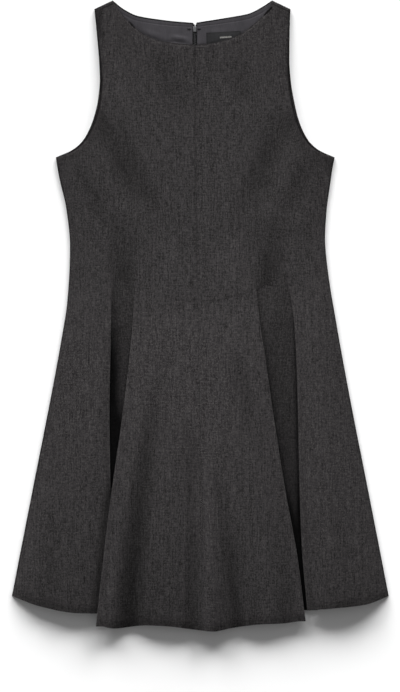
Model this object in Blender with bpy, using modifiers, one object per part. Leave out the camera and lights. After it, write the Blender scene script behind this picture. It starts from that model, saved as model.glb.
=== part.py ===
# Sleeveless fit-and-flare dress, closed at the centre back by a concealed zip.
# It lies flat on its back: +X to the right of the picture it makes, +Y towards the
# shoulders, +Z up, with the origin under the middle of the whole outline.
# All sizes are in metres and follow the laid-out garment.

import math

import bmesh
import bpy
import numpy as np
from mathutils import Vector

# ---------------------------------------------------------------- driving sizes

CLOTH = 0.0015            # wool wall
SATIN = 0.0010            # lining wall
TAPE = 0.0010             # zip tape
LABEL = 0.0006            # woven label
GAP = 0.0003              # between two pieces that touch or are sewn together
SEAM = GAP / 2            # each piece's share of a seam's gap
WAIST_APART = GAP         # the front skirt's share at the waist, where it starts to fold
BENT_GAP = 0.0005         # between layers that bend over the zip

SHOULDER_Y = 0.4727       # inner tips of the shoulders
SHOULDER_DROP = 0.0130    # from the inner tip down to the outer corner
SHOULDER_IN = 0.1193      # half width at the inner tips
SHOULDER_OUT = 0.1469     # half width at the outer corners
UNDERARM_Y = 0.2375
WAIST_SIDE_Y = 0.1090     # waist seam at the side seams
WAIST_FRONT_DIP = 0.0869  # how far the front waist seam dips at the centre
WAIST_BACK_DIP = 0.0340
WAIST_HALF = 0.1913
HEM_SIDE_Y = -0.4204
HEM_HALF = 0.2825
PRINCESS_TOP_Y = 0.3130   # where the princess seam leaves the armhole
NECK_BACK_Y = 0.4390      # back neckline at the zip
NECK_FRONT_Y = 0.4059     # front neckline at the centre seam
ARMHOLE_INSET = 0.0042    # the front armhole lies this far inside the back's

BACK_TOP = CLOTH                          # upper face of the back cloth
FRONT_LOW = BACK_TOP + GAP + CLOTH        # front cloth where it lies on the back
STRAP_LOW = BACK_TOP + BENT_GAP + SATIN + GAP + CLOTH


def table(columns, *rows):
    """A small table read by its column names."""
    return dict(zip(columns.split(), np.array(rows, dtype=float).T))


# Half width of the outline below the underarm, and where its middle lies.
SIDE_SEAM = table(
    "y half",
    (UNDERARM_Y, 0.2090),
    (0.2036, 0.2032),
    (0.1586, 0.1951),
    (WAIST_SIDE_Y, WAIST_HALF),
    (0.0686, 0.1937),
    (0.0236, 0.1986),
    (-0.0364, 0.2084),
    (-0.1264, 0.2250),
    (-0.2464, 0.2486),
    (-0.3664, 0.2721),
    (HEM_SIDE_Y, HEM_HALF),
)
ARMHOLE = table(
    "half y",
    (SHOULDER_OUT, SHOULDER_Y - SHOULDER_DROP),
    (0.1440, 0.4136),
    (0.1427, 0.3836),
    (0.1431, 0.3536),
    (0.1469, 0.3236),
    (0.1542, 0.2936),
    (0.1684, 0.2636),
    (0.1847, 0.2486),
    (0.2090, UNDERARM_Y),
)
MIDDLE = table(           # the bodice leans a little to the left of the skirt
    "y x",
    (SHOULDER_Y, -0.0124),
    (0.3836, -0.0092),
    (0.3236, -0.0066),
    (0.2636, -0.0070),
    (0.2186, -0.0080),
    (0.1736, -0.0061),
    (0.1076, -0.0041),
    (0.0536, -0.0019),
    (-0.0064, 0.0),
    (HEM_SIDE_Y, 0.0),
)
CENTRE_SEAM = table(
    "y x",
    (SHOULDER_Y, -0.0084),
    (NECK_FRONT_Y, -0.0082),
    (0.2336, -0.0076),
    (0.0236, -0.0035),
    (-0.1324, -0.0005),
    (-0.4264, 0.0025),
    (-0.4727, 0.0028),
)
PRINCESS = table(         # distance out from the centre seam
    "y out",
    (0.2980, 0.1327),
    (0.2786, 0.1240),
    (0.2486, 0.1226),
    (0.1736, 0.1230),
    (0.0986, 0.1265),
    (0.0600, 0.1275),
)

# Drop of the necklines below the shoulder tips, from the centre (0) to the tip (1).
NECK_BACK = table(
    "share left right",
    (0.00, 0.0337, 0.0337),
    (0.22, 0.0315, 0.0295),
    (0.45, 0.0282, 0.0252),
    (0.70, 0.0228, 0.0196),
    (0.87, 0.0126, 0.0099),
    (1.00, 0.0, 0.0),
)
NECK_FRONT = table(
    "share left right",
    (0.00, 0.0668, 0.0668),
    (0.20, 0.0645, 0.0648),
    (0.40, 0.0597, 0.0591),
    (0.55, 0.0516, 0.0531),
    (0.70, 0.0393, 0.0420),
    (0.85, 0.0231, 0.0270),
    (0.94, 0.0103, 0.0178),
    (1.00, 0.0, 0.0),
)

# Height of the front's upper face: at the centre seam, over the princess seams, and
# at the outline, which is a free edge down to the underarm and a seam below it.
FRONT_HEIGHT = table(
    "y centre princess edge",
    (SHOULDER_Y, 0.0076, 0.0056, STRAP_LOW),
    (0.4400, 0.0098, 0.0080, 0.0056),
    (NECK_FRONT_Y, 0.0112, 0.0100, 0.0068),
    (0.3236, 0.0122, 0.0132, 0.0084),
    (0.2620, 0.0128, 0.0148, 0.0070),
    (UNDERARM_Y, 0.0130, 0.0152, FRONT_LOW),
    (0.1500, 0.0114, 0.0124, FRONT_LOW),
    (WAIST_SIDE_Y, 0.0092, 0.0094, FRONT_LOW),
    (0.0221, 0.0070, 0.0070, FRONT_LOW),
)
PRINCESS_SHARE = 0.66     # of the half width

# The deep fold on each side of the skirt, from the waist seam (0) to the hem (1).
# side, side_z, side_bend: the side panel's folded edge, its height and its radius;
# tuck: how far it goes back under; floor: height of the cloth at the bottom of the
# fold; turn: where that cloth turns up again; centre, centre_z, centre_bend: the centre
# panel's folded edge; lap: 1 where the centre lies over the side.
FOLD_LEFT = table(
    "at side side_z side_bend tuck floor turn centre centre_z centre_bend lap",
    (0.0, 0.1313, 0.0064, 0.0008, 0.0006, 0.0048, 0.0985, 0.0980, 0.0066, 0.0009, 0.0),
    (0.2, 0.1340, 0.0084, 0.0016, 0.0060, 0.0036, 0.1010, 0.1061, 0.0090, 0.0018, 0.0),
    (0.4, 0.1352, 0.0098, 0.0021, 0.0085, 0.0033, 0.1110, 0.1183, 0.0134, 0.0024, 0.0),
    (0.6, 0.1319, 0.0106, 0.0021, 0.0110, 0.0033, 0.1200, 0.1333, 0.0178, 0.0031, 1.0),
    (0.8, 0.1312, 0.0110, 0.0021, 0.0130, 0.0033, 0.1195, 0.1460, 0.0204, 0.0037, 1.0),
    (1.0, 0.1325, 0.0114, 0.0021, 0.0150, 0.0033, 0.1190, 0.1565, 0.0222, 0.0042, 1.0),
)
FOLD_RIGHT = table(
    "at side side_z side_bend tuck floor turn centre centre_z centre_bend lap",
    (0.0, 0.1235, 0.0064, 0.0008, 0.0006, 0.0048, 0.0922, 0.0917, 0.0066, 0.0009, 0.0),
    (0.2, 0.1405, 0.0092, 0.0018, 0.0060, 0.0036, 0.0950, 0.1007, 0.0086, 0.0016, 0.0),
    (0.4, 0.1457, 0.0116, 0.0024, 0.0085, 0.0033, 0.1080, 0.1157, 0.0106, 0.0021, 0.0),
    (0.6, 0.1490, 0.0138, 0.0029, 0.0110, 0.0033, 0.1240, 0.1322, 0.0126, 0.0021, 0.0),
    (0.8, 0.1529, 0.0160, 0.0033, 0.0130, 0.0033, 0.1420, 0.1508, 0.0142, 0.0021, 0.0),
    (1.0, 0.1606, 0.0178, 0.0036, 0.0150, 0.0033, 0.1490, 0.1588, 0.0152, 0.0021, 0.0),
)

# Hems, from the side seam (0) to the side panel's folded edge (1), and from the left
# folded edge (0) to the right one (1) on the centre panels.
HEM_SIDE = table(
    "share left right",
    (0.00, HEM_SIDE_Y, HEM_SIDE_Y),
    (0.30, -0.4360, -0.4330),
    (0.65, -0.4454, -0.4380),
    (1.00, -0.4466, -0.4414),
)
HEM_CENTRE = table(
    "share y",
    (0.00, -0.4624),
    (0.09, -0.4684),
    (0.24, -0.4639),
    (0.35, -0.4654),
    (0.46, -0.4699),
    (0.56, -0.4727),
    (0.64, -0.4684),
    (0.78, -0.4624),
    (0.89, -0.4609),
    (1.00, -0.4560),
)
HEM_BACK = table(
    "share y",
    (0.00, -0.4480),
    (0.35, -0.4440),
    (0.64, -0.4360),
    (0.83, -0.4300),
    (1.00, HEM_SIDE_Y),
)

# Height of the middle of the centre panels, and the soft troughs (-) and ridges (+)
# that run down them: x and share of the way down at the top and the bottom, half
# width and height at the bottom.
CENTRE_HEIGHT = table(
    "at z",
    (0.0, 0.0068),
    (0.2, 0.0100),
    (0.4, 0.0135),
    (0.6, 0.0170),
    (0.8, 0.0200),
    (1.0, 0.0220),
)
SKIRT_FOLDS = table(
    "top_x top_at x at half height",
    (-0.122, 0.40, -0.137, 1.00, 0.020, 0.0065),
    (-0.050, 0.15, -0.108, 1.00, 0.024, -0.0075),
    (0.002, 0.45, 0.024, 1.00, 0.022, 0.0060),
    (0.026, 0.50, 0.056, 1.00, 0.020, -0.0050),
    (-0.018, 0.35, -0.020, 1.00, 0.020, -0.0025),
    (0.060, 0.15, 0.100, 0.80, 0.026, -0.0025),
)

# Concealed zip, down the centre back from the notch in the neckline.
ZIP_END_Y = -0.0600
CHAIN_TOP_Y = 0.4252
COIL_HALF = 0.0024
COIL_HEIGHT = 0.0012      # above the tape
TAPE_HALF = 0.0110
LINING_SLIT = 0.0036      # from the zip's middle to the lining's edge
LINING_LOW_Y = 0.3850
NOTCH = table(            # half opening between the back halves
    "y half",
    (ZIP_END_Y, SEAM),
    (0.4215, SEAM),
    (0.4262, 0.0012),
    (0.4340, 0.0013),
    (NECK_BACK_Y, 0.0025),
)
HUMP = 0.0022             # the cloth stands this high over the pull
HUMP_HALF = 0.0080
HUMP_FADE = 0.0180
HUMP_LOW_Y = 0.3850
HUMP_RISE = 0.0240

SLIDER_Y = 0.4298
SLIDER_SIZE = (0.0056, 0.0082, 0.0032)
EAR_SIZE = (0.0016, 0.0034)
HINGE_Y = 0.4300
HINGE_Z = 0.0015
HINGE_HOLE = 0.00085
EAR_FLOOR = 0.0003
PULL_LENGTH = 0.0172      # from the hinge to the far end
PULL_WALL = 0.0008
PULL_TILT = math.radians(3.1)
WINDOW_HALF = 0.0011
WINDOW_END = 0.0038
PULL_OUTLINE = table(
    "along half",
    (-0.0004, 0.0017),
    (0.0004, 0.0021),
    (0.0040, 0.0020),
    (0.0062, 0.0016),
    (0.0100, 0.0021),
    (0.0140, 0.0026),
    (0.0162, 0.0022),
    (PULL_LENGTH, 0.0010),
)

LABEL_CORNER = (0.0089, 0.4241)    # its upper left corner
LABEL_SIZE = (0.0515, 0.0180)
LABEL_TURN = math.radians(3.4)

# ---------------------------------------------------------------- curves


def follow(xs, ys, at):
    """Height at `at` of a smooth curve through (xs, ys) that never overshoots."""
    if xs[0] > xs[-1]:
        xs, ys = xs[::-1], ys[::-1]
    at = min(max(at, xs[0]), xs[-1])
    i = min(int(np.searchsorted(xs, at, side="right")) - 1, len(xs) - 2)
    steps = np.diff(xs)
    slopes = np.diff(ys) / steps

    def tangent(k):
        if k in (0, len(xs) - 1):
            return slopes[min(k, len(slopes) - 1)]
        before, after = slopes[k - 1], slopes[k]
        if before * after <= 0:
            return 0.0
        return 2 * before * after / (before + after)

    step = steps[i]
    s = (at - xs[i]) / step
    return float((1 + 2 * s) * (1 - s) ** 2 * ys[i] + s * (1 - s) ** 2 * step * tangent(i)
                 + s * s * (3 - 2 * s) * ys[i + 1] + s * s * (s - 1) * step * tangent(i + 1))


def read(rows, key, value, at):
    return follow(rows[key], rows[value], at)


def ease(share):
    share = min(max(share, 0.0), 1.0)
    return share * share * (3 - 2 * share)


def mix(first, last, share):
    return first + (last - first) * share


def edge(points):
    """A cut edge through its points, as a function of the share of the way along it."""
    points = [Vector(point) for point in points]
    run = np.concatenate([[0.0], np.cumsum([(b - a).length for a, b in zip(points, points[1:])])])
    run /= run[-1]
    xs = np.array([point.x for point in points])
    ys = np.array([point.y for point in points])
    return lambda share: Vector((follow(run, xs, share), follow(run, ys, share)))


def joined(first, last, split):
    """Two edges end to end, with their corner at `split`."""
    return lambda share: first(share / split) if share < split else last((share - split) / (1 - split))


def part_of(whole, start, end):
    return lambda share: whole(mix(start, end, share))


def patch(top, bottom, outer, inner):
    """A panel filled in between its four cut edges."""
    corners = top(0), top(1), bottom(0), bottom(1)

    def place(u, v):
        across = mix(top(u), bottom(u), v)
        down = mix(outer(v), inner(v), u)
        flat = mix(mix(corners[0], corners[1], u), mix(corners[2], corners[3], u), v)
        return across + down - flat

    return place


# ---------------------------------------------------------------- the dress's lines


def side_name(side):
    return "left" if side < 0 else "right"


def outline_x(side, y):
    return read(MIDDLE, "y", "x", y) + side * read(SIDE_SEAM, "y", "half", y)


def centre_x(y):
    return read(CENTRE_SEAM, "y", "x", y)


def waist_y(x, dip):
    """The waist seams dip to the centre on a parabola."""
    return WAIST_SIDE_Y - dip * (1 - min(abs((x - centre_x(0.0)) / WAIST_HALF), 1.0) ** 2)


def side_seam(side, high, low, steps=8):
    ys = np.linspace(high, low, steps + 1)
    return edge([(outline_x(side, y), y) for y in ys])


def centre_seam(side, high, low, half=lambda y: SEAM):
    """One side of the centre seam, or of an opening whose half width goes by height."""
    def place(share):
        y = mix(high, low, share)
        return Vector((centre_x(y) + side * half(y), y))
    return place


def shoulder_tip(side):
    return Vector((read(MIDDLE, "y", "x", SHOULDER_Y) + side * SHOULDER_IN, SHOULDER_Y))


def shoulder_corner(side):
    return Vector((read(MIDDLE, "y", "x", SHOULDER_Y) + side * SHOULDER_OUT, SHOULDER_Y - SHOULDER_DROP))


def neckline(side, drops, centre_y, steps=10):
    """From the shoulder tip to the centre."""
    tip = shoulder_tip(side)
    centre = centre_x(centre_y) + side * SEAM
    points = []
    for share in np.linspace(1, 0, steps + 1):
        drop = read(drops, "share", side_name(side), share)
        points.append((mix(centre, tip.x, share), SHOULDER_Y - drop))
    return edge(points)


def armhole(side, inset=0.0):
    """From the shoulder corner to the underarm, drawn in towards the body by `inset`."""
    points = [(read(MIDDLE, "y", "x", y) + side * half, y) for half, y in zip(ARMHOLE["half"], ARMHOLE["y"])]
    points[0] = shoulder_corner(side)
    whole = edge(points)

    def place(share):
        point = whole(share)
        along = whole(min(share + 0.01, 1)) - whole(max(share - 0.01, 0))
        inward = Vector((along.y, -along.x)).normalized() * side
        return point + inward * inset * math.sin(math.pi * share ** 1.6)

    return place


def princess_share(side, inset):
    """How far along the armhole the princess seam leaves it."""
    cut = armhole(side, inset)
    shares = np.linspace(0, 1, 200)
    return float(min(shares, key=lambda share: abs(cut(share).y - PRINCESS_TOP_Y)))


def princess(side, start):
    """The seam from the armhole down to the waist seam."""
    points = [start]
    for y, out in zip(PRINCESS["y"], PRINCESS["out"]):
        points.append(Vector((centre_x(y) + side * out, y)))
    foot = points[-1]
    foot.y = waist_y(foot.x, WAIST_FRONT_DIP)
    return edge(points)


def beside(seam, apart):
    """A line beside a seam, `apart` to the right of it on the way down."""
    def place(share):
        along = seam(min(share + 0.01, 1)) - seam(max(share - 0.01, 0))
        return seam(share) + Vector((-along.y, along.x)).normalized() * apart
    return place


def waist_line(start_x, end_x, dip, apart=0.0):
    def place(share):
        x = mix(start_x, end_x, share)
        return Vector((x, waist_y(x, dip) + apart))
    return place


# ---------------------------------------------------------------- heights


def zip_hump(x, y):
    """Rise of the back and all that lies on it over the hidden pull."""
    away = (abs(x - centre_x(y)) - HUMP_HALF) / HUMP_FADE
    return HUMP * (1 - ease(away)) * ease((y - HUMP_LOW_Y) / HUMP_RISE)


def front_height(x, y):
    """Upper face of the bodice's front."""
    if y > UNDERARM_Y:
        half = read({"y": ARMHOLE["y"], "half": ARMHOLE["half"]}, "y", "half", y)
    else:
        half = read(SIDE_SEAM, "y", "half", y)
    share = min(abs(x - read(MIDDLE, "y", "x", y)) / half, 1.0)
    centre, over, rim = (read(FRONT_HEIGHT, "y", column, y) for column in ("centre", "princess", "edge"))
    if share < PRINCESS_SHARE:
        return mix(centre, over, ease(share / PRINCESS_SHARE))
    return over - (over - rim) * ((share - PRINCESS_SHARE) / (1 - PRINCESS_SHARE)) ** 2


def centre_folds(x, at):
    """What the soft troughs and ridges add to the centre panels."""
    total = 0.0
    for top_x, top_at, low_x, low_at, half, height in zip(*(SKIRT_FOLDS[name] for name in
                                                           ("top_x", "top_at", "x", "at", "half", "height"))):
        down = (at - top_at) / (low_at - top_at)
        line = mix(top_x, low_x, down)
        away = abs(x - line) / half
        total += height * ease(down) * (1 - ease(away))
    return total


# ---------------------------------------------------------------- materials and nodes


def finish(name, colour, roughness, metallic=0.0):
    material = bpy.data.materials.new(name)
    material.use_nodes = True
    shader = material.node_tree.nodes["Principled BSDF"]
    shader.inputs["Base Color"].default_value = (*colour, 1.0)
    shader.inputs["Roughness"].default_value = roughness
    shader.inputs["Metallic"].default_value = metallic
    return material


def add_object(name, data, material, collection):
    node = bpy.data.objects.new(name, data)
    data.materials.append(material)
    collection.objects.link(node)
    return node


def add_mesh(name, shape, material, collection):
    mesh = bpy.data.meshes.new(name)
    shape.to_mesh(mesh)
    shape.free()
    return add_object(name, mesh, material, collection)


def sheet(name, surface, columns, rows, wall, material, collection):
    """A cut piece: a grid laid on its surface, face up, with its wall below."""
    shape = bmesh.new()
    bmesh.ops.create_grid(shape, x_segments=len(columns) - 1, y_segments=len(rows) - 1, size=0.5)
    for vertex in shape.verts:
        i = round((vertex.co.x + 0.5) * (len(columns) - 1))
        j = round((vertex.co.y + 0.5) * (len(rows) - 1))
        vertex.co = surface(columns[i], rows[j])
    shape.normal_update()
    if sum(face.normal.z * face.calc_area() for face in shape.faces) < 0:
        bmesh.ops.reverse_faces(shape, faces=shape.faces)
    node = add_mesh(name, shape, material, collection)
    solidify = node.modifiers.new("wall", "SOLIDIFY")
    solidify.thickness = wall
    solidify.offset = -1
    solidify.use_quality_normals = True
    return node


def even(count):
    return [i / count for i in range(count + 1)]


# ---------------------------------------------------------------- bodice

ARMHOLE_ROWS = 5          # rows of faces above and below the top of the princess seam
PRINCESS_ROWS = 9


def lift(flat, height):
    """A panel's flat place raised to its height."""
    def surface(u, v):
        point = flat(u, v)
        return Vector((point.x, point.y, height(point.x, point.y)))
    return surface


def front_centre(side, material, collection):
    leave = princess_share(side, ARMHOLE_INSET)
    cut = armhole(side, ARMHOLE_INSET)
    shoulder = edge([shoulder_corner(side), shoulder_tip(side)])
    neck = neckline(side, NECK_FRONT, NECK_FRONT_Y)
    seam = beside(princess(side, cut(leave)), -side * SEAM)
    foot = centre_x(waist_y(0.0, WAIST_FRONT_DIP)) + side * SEAM
    rows = ARMHOLE_ROWS + PRINCESS_ROWS
    place = patch(
        top=joined(shoulder, neck, 1 / 6),
        bottom=waist_line(seam(1).x, foot, WAIST_FRONT_DIP, SEAM),
        outer=joined(part_of(cut, 0, leave), seam, ARMHOLE_ROWS / rows),
        inner=centre_seam(side, neck(1).y, waist_y(foot, WAIST_FRONT_DIP) + SEAM),
    )
    sheet(f"bodice_front_centre_{side_name(side)}", lift(place, front_height), even(12), even(rows),
          CLOTH, material, collection)


def front_side(side, material, collection):
    leave = princess_share(side, ARMHOLE_INSET)
    cut = armhole(side, ARMHOLE_INSET)
    seam = beside(princess(side, cut(leave)), side * SEAM)
    place = patch(
        top=part_of(cut, 1, leave),
        bottom=waist_line(outline_x(side, WAIST_SIDE_Y), seam(1).x, WAIST_FRONT_DIP, SEAM),
        outer=side_seam(side, UNDERARM_Y, WAIST_SIDE_Y + SEAM),
        inner=seam,
    )
    sheet(f"bodice_front_side_{side_name(side)}", lift(place, front_height), even(6), even(PRINCESS_ROWS),
          CLOTH, material, collection)


def back_height(x, y):
    return BACK_TOP + zip_hump(x, y)


def bodice_back(side, material, collection):
    shoulder = edge([shoulder_corner(side), shoulder_tip(side)])
    neck = neckline(side, NECK_BACK, NECK_BACK_Y)
    neck_x = centre_x(NECK_BACK_Y)

    def notched(share):
        """The neckline, held clear of the zip's notch."""
        point = neck(share)
        half = read(NOTCH, "y", "half", NECK_BACK_Y)
        point.x = side * max(side * (point.x - neck_x), half) + neck_x
        return point

    foot = centre_x(WAIST_SIDE_Y - WAIST_BACK_DIP) + side * SEAM
    place = patch(
        top=joined(shoulder, notched, 1 / 6),
        bottom=waist_line(outline_x(side, WAIST_SIDE_Y), foot, WAIST_BACK_DIP, SEAM),
        outer=joined(armhole(side), side_seam(side, UNDERARM_Y, WAIST_SIDE_Y + SEAM), 0.62),
        inner=centre_seam(side, NECK_BACK_Y, waist_y(foot, WAIST_BACK_DIP) + SEAM,
                          lambda y: read(NOTCH, "y", "half", y)),
    )
    columns = [0, 1 / 12, 1 / 6, 0.3, 0.45, 0.6, 0.72, 0.81, 0.87, 0.92, 0.96, 1]
    rows = [0, 0.013, 0.035, 0.048, 0.075, 0.105, 0.135, 0.165, 0.24, 0.34, 0.44, 0.53, 0.62, 0.8, 1]
    sheet(f"bodice_back_{side_name(side)}", lift(place, back_height), columns, rows,
          CLOTH, material, collection)


# ---------------------------------------------------------------- skirt


class Fold:
    """One side's deep fold at a share of the way down the skirt."""

    def __init__(self, side, at):
        rows = FOLD_LEFT if side < 0 else FOLD_RIGHT
        for column in rows:
            setattr(self, column, read(rows, "at", column, at))


def side_point(side, share, at):
    """Place on a side panel, from the side seam (0) to its folded edge (1)."""
    rim_y = mix(WAIST_SIDE_Y - WAIST_APART, HEM_SIDE_Y, at)
    edge_x = side * Fold(side, at).side
    top_x = mix(outline_x(side, WAIST_SIDE_Y), side * Fold(side, 0).side, share)
    high = waist_y(top_x, WAIST_FRONT_DIP) - WAIST_APART
    low = read(HEM_SIDE, "share", side_name(side), share)
    return Vector((mix(outline_x(side, rim_y), edge_x, share), mix(high, low, at)))


def centre_point(share, at):
    """Place on the centre panels, from the left folded edge (0) to the right one (1)."""
    def across(height):
        return mix(-Fold(-1, height).centre, Fold(1, height).centre, share)
    high = waist_y(across(0), WAIST_FRONT_DIP) - WAIST_APART
    return Vector((across(at), mix(high, read(HEM_CENTRE, "share", "y", share), at)))


def centre_share(at):
    """Where the centre seam crosses the centre panels."""
    left, right = -Fold(-1, at).centre, Fold(1, at).centre
    return (centre_x(mix(0.0221, -0.4727, at)) - left) / (right - left)


def settled(x, at, height):
    """At the waist seam the skirt takes the bodice's height."""
    waist = front_height(x, waist_y(x, WAIST_FRONT_DIP))
    return mix(waist, height, ease(at / 0.1))


def side_height(side, share, at):
    """Upper face of a side panel: it rolls up from the side seam to the folded edge."""
    over = Fold(side, at).side_z
    roll = over - (over - FRONT_LOW) * (1 - share) ** 2
    belly = 0.0030 * at * math.sin(math.pi * share)
    return settled(side_point(side, share, at).x, at, roll + belly)


def centre_height(share, at):
    """Upper face of the centre panels between the two folded edges."""
    x = centre_point(share, at).x
    middle = read(CENTRE_HEIGHT, "at", "z", at) + centre_folds(x, at)
    left, right = Fold(-1, at).centre_z, Fold(1, at).centre_z
    near_left = 1 - ease(share / 0.16)
    near_right = 1 - ease((1 - share) / 0.16)
    return settled(x, at, middle + (left - middle) * near_left + (right - middle) * near_right)


LEVEL_AT = 0.006          # down to here the skirt runs on straight from the waist seam
SKIRT_ROWS = [0, LEVEL_AT] + [row / 12 for row in range(1, 13)]
TUCK_STUB = 0.0030        # the side panel's seam lies this far along the fold's floor
CENTRE_TURN = 3           # the centre fold's point at the far end of that floor


def side_fold(side, at):
    """The side panel's folded edge, from its upper face down to the seam in the fold,
    as distances out and heights."""
    fold = Fold(side, at)
    top = side_height(side, 1.0, at)
    r = fold.side_bend
    under = fold.side + fold.tuck
    return [
        (fold.side + 0.3 * r, top - 0.3 * r),
        (fold.side, top - r),
        (fold.side + 0.3 * r, top - 1.7 * r),
        (mix(fold.side, under, 0.35) + 0.4 * r, mix(top - 2 * r, fold.floor + r, 0.25)),
        (under - 0.5 * r, fold.floor + 0.95 * r),
        (under, fold.floor + 0.42 * r),
        (under - 0.5 * r, fold.floor),
        (under - TUCK_STUB + SEAM, fold.floor),
    ]


def centre_fold(side, at):
    """The centre panel's run from the seam in the fold up to its own folded edge."""
    fold = Fold(side, at)
    top = centre_height(0.0 if side < 0 else 1.0, at)
    side_top = side_height(side, 1.0, at)
    r = fold.centre_bend
    seam = fold.side + fold.tuck - TUCK_STUB - SEAM
    foot = (fold.turn + 0.4 * r, fold.floor + 0.95 * r)
    neck = (fold.centre - 0.9 * r, top - 1.9 * r)
    knee_low = (fold.turn + 0.0012, side_top + 0.0022)
    knee_high = (fold.turn + 0.0052, side_top + 0.0044)
    lower = [mix(mix(foot[k], neck[k], 1 / 3), knee_low[k], fold.lap) for k in (0, 1)]
    upper = [mix(mix(foot[k], neck[k], 2 / 3), knee_high[k], fold.lap) for k in (0, 1)]
    return [
        (seam, fold.floor),
        (mix(seam, fold.turn, 0.5), fold.floor),
        (fold.turn + 0.6 * r, fold.floor),
        (fold.turn, fold.floor + 0.4 * r),
        foot,
        lower,
        upper,
        neck,
        (fold.centre - 0.3 * r, top - 1.7 * r),
        (fold.centre, top - r),
        (fold.centre - 0.3 * r, top - 0.3 * r),
    ]


def fold_y(side, at, waist_out, hem_y):
    """A point inside a fold runs straight down from its own place on the waist seam."""
    return mix(waist_y(side * waist_out, WAIST_FRONT_DIP) - WAIST_APART, hem_y, at)


def skirt_side(side, material, collection):
    across = even(8)
    across[-1] = 0.975
    at_waist = side_fold(side, 0)
    hem_y = read(HEM_SIDE, "share", side_name(side), 1.0)

    def surface(i, at):
        level = max(at, LEVEL_AT)
        if i < len(across):
            point = side_point(side, across[i], at)
            return Vector((point.x, point.y, side_height(side, across[i], level)))
        k = i - len(across)
        out, z = side_fold(side, level)[k]
        return Vector((side * out, fold_y(side, at, at_waist[k][0], hem_y), z))

    columns = range(len(across) + len(at_waist))
    sheet(f"skirt_front_side_{side_name(side)}", surface, columns, SKIRT_ROWS,
          CLOTH, material, collection)


def skirt_centre(side, material, collection):
    across = even(9)
    across[0] = 0.03
    at_waist = centre_fold(side, 0)
    at_hem = centre_fold(side, 1)
    start = 0.0 if side < 0 else 1.0
    side_hem = read(HEM_SIDE, "share", side_name(side), 1.0)
    centre_hem = read(HEM_CENTRE, "share", "y", start)
    seam, turn = at_hem[0][0], at_hem[CENTRE_TURN][0]

    def surface(i, at):
        level = max(at, LEVEL_AT)
        if i < len(at_waist):
            out, z = centre_fold(side, level)[i]
            crossed = ease((seam - at_hem[i][0]) / (seam - turn)) if i < CENTRE_TURN else 1.0
            hem_y = mix(side_hem, centre_hem, crossed)
            wall = CLOTH if i > CENTRE_TURN else 0.0    # the bend's inner face meets the seam first
            return Vector((side * out, fold_y(side, at, at_waist[i][0] - wall, hem_y), z))
        share = mix(start, centre_share(at), across[i - len(at_waist)])
        point = centre_point(share, at)
        apart = side * SEAM if i == len(at_waist) + len(across) - 1 else 0.0
        return Vector((point.x + apart, point.y, centre_height(share, level)))

    columns = range(len(across) + len(at_waist))
    sheet(f"skirt_front_centre_{side_name(side)}", surface, columns, SKIRT_ROWS,
          CLOTH, material, collection)


def skirt_back(side, material, collection):
    """Flat on the surface, its hem just inside the front's."""
    top_foot = centre_x(WAIST_SIDE_Y - WAIST_BACK_DIP) + side * SEAM
    low_foot = read(HEM_BACK, "share", "y", 0.0)

    def hem(share):
        x = mix(side * HEM_HALF, centre_x(low_foot) + side * SEAM, share)
        return Vector((x, read(HEM_BACK, "share", "y", min(abs(x) / HEM_HALF, 1.0))))

    place = patch(
        top=waist_line(outline_x(side, WAIST_SIDE_Y), top_foot, WAIST_BACK_DIP, -SEAM),
        bottom=hem,
        outer=side_seam(side, WAIST_SIDE_Y - SEAM, HEM_SIDE_Y),
        inner=centre_seam(side, waist_y(top_foot, WAIST_BACK_DIP) - SEAM, hem(1).y),
    )
    sheet(f"skirt_back_{side_name(side)}", lift(place, back_height), even(7), even(9),
          CLOTH, material, collection)


# ---------------------------------------------------------------- lining, label, zip


def lining_height(x, y):
    """The lining lies on the back and steps up over the zip's tape."""
    over_tape = 1 - ease((abs(x - centre_x(y)) - TAPE_HALF - 0.001) / 0.006)
    return BACK_TOP + BENT_GAP + SATIN + zip_hump(x, y) + (TAPE + GAP) * over_tape


def lining(side, material, collection):
    """Inside the back neck, a little further down than the front neckline leaves bare."""
    inset = 0.0012
    neck = neckline(side, NECK_BACK, NECK_BACK_Y)
    tip, corner = shoulder_tip(side), shoulder_corner(side)
    down = Vector((0.0, -inset))
    shoulder = edge([corner + down - Vector((side * 0.002, 0)), tip + down])
    cut = armhole(side, 0.0)

    def neck_inside(share):
        point = neck(share) + down
        middle = centre_x(point.y)
        point.x = side * max(side * (point.x - middle), LINING_SLIT) + middle
        return point

    strap_end = cut(0.25) - Vector((side * 0.002, 0))
    low_end = Vector((centre_x(LINING_LOW_Y) + side * LINING_SLIT, LINING_LOW_Y))
    bottom = edge([strap_end, mix(strap_end, low_end, 0.3) - Vector((0, 0.008)),
                   mix(strap_end, low_end, 0.65) - Vector((0, 0.008)), low_end])
    place = patch(
        top=joined(shoulder, neck_inside, 1 / 6),
        bottom=bottom,
        outer=edge([shoulder(0), strap_end]),
        inner=centre_seam(side, neck_inside(1).y, LINING_LOW_Y, lambda y: LINING_SLIT),
    )
    columns = [0, 1 / 12, 1 / 6, 0.3, 0.45, 0.6, 0.72, 0.8, 0.85, 0.89, 0.93, 0.965, 1]
    sheet(f"lining_back_{side_name(side)}", lift(place, lining_height), columns, even(8),
          SATIN, material, collection)


def neck_label(material, collection):
    right = Vector((math.cos(LABEL_TURN), math.sin(LABEL_TURN)))
    down = Vector((right.y, -right.x))

    def surface(u, v):
        point = Vector(LABEL_CORNER) + right * LABEL_SIZE[0] * u + down * LABEL_SIZE[1] * v
        return Vector((point.x, point.y, lining_height(point.x, point.y) + GAP + LABEL))

    sheet("label", surface, even(8), even(3), LABEL, material, collection)


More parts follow.
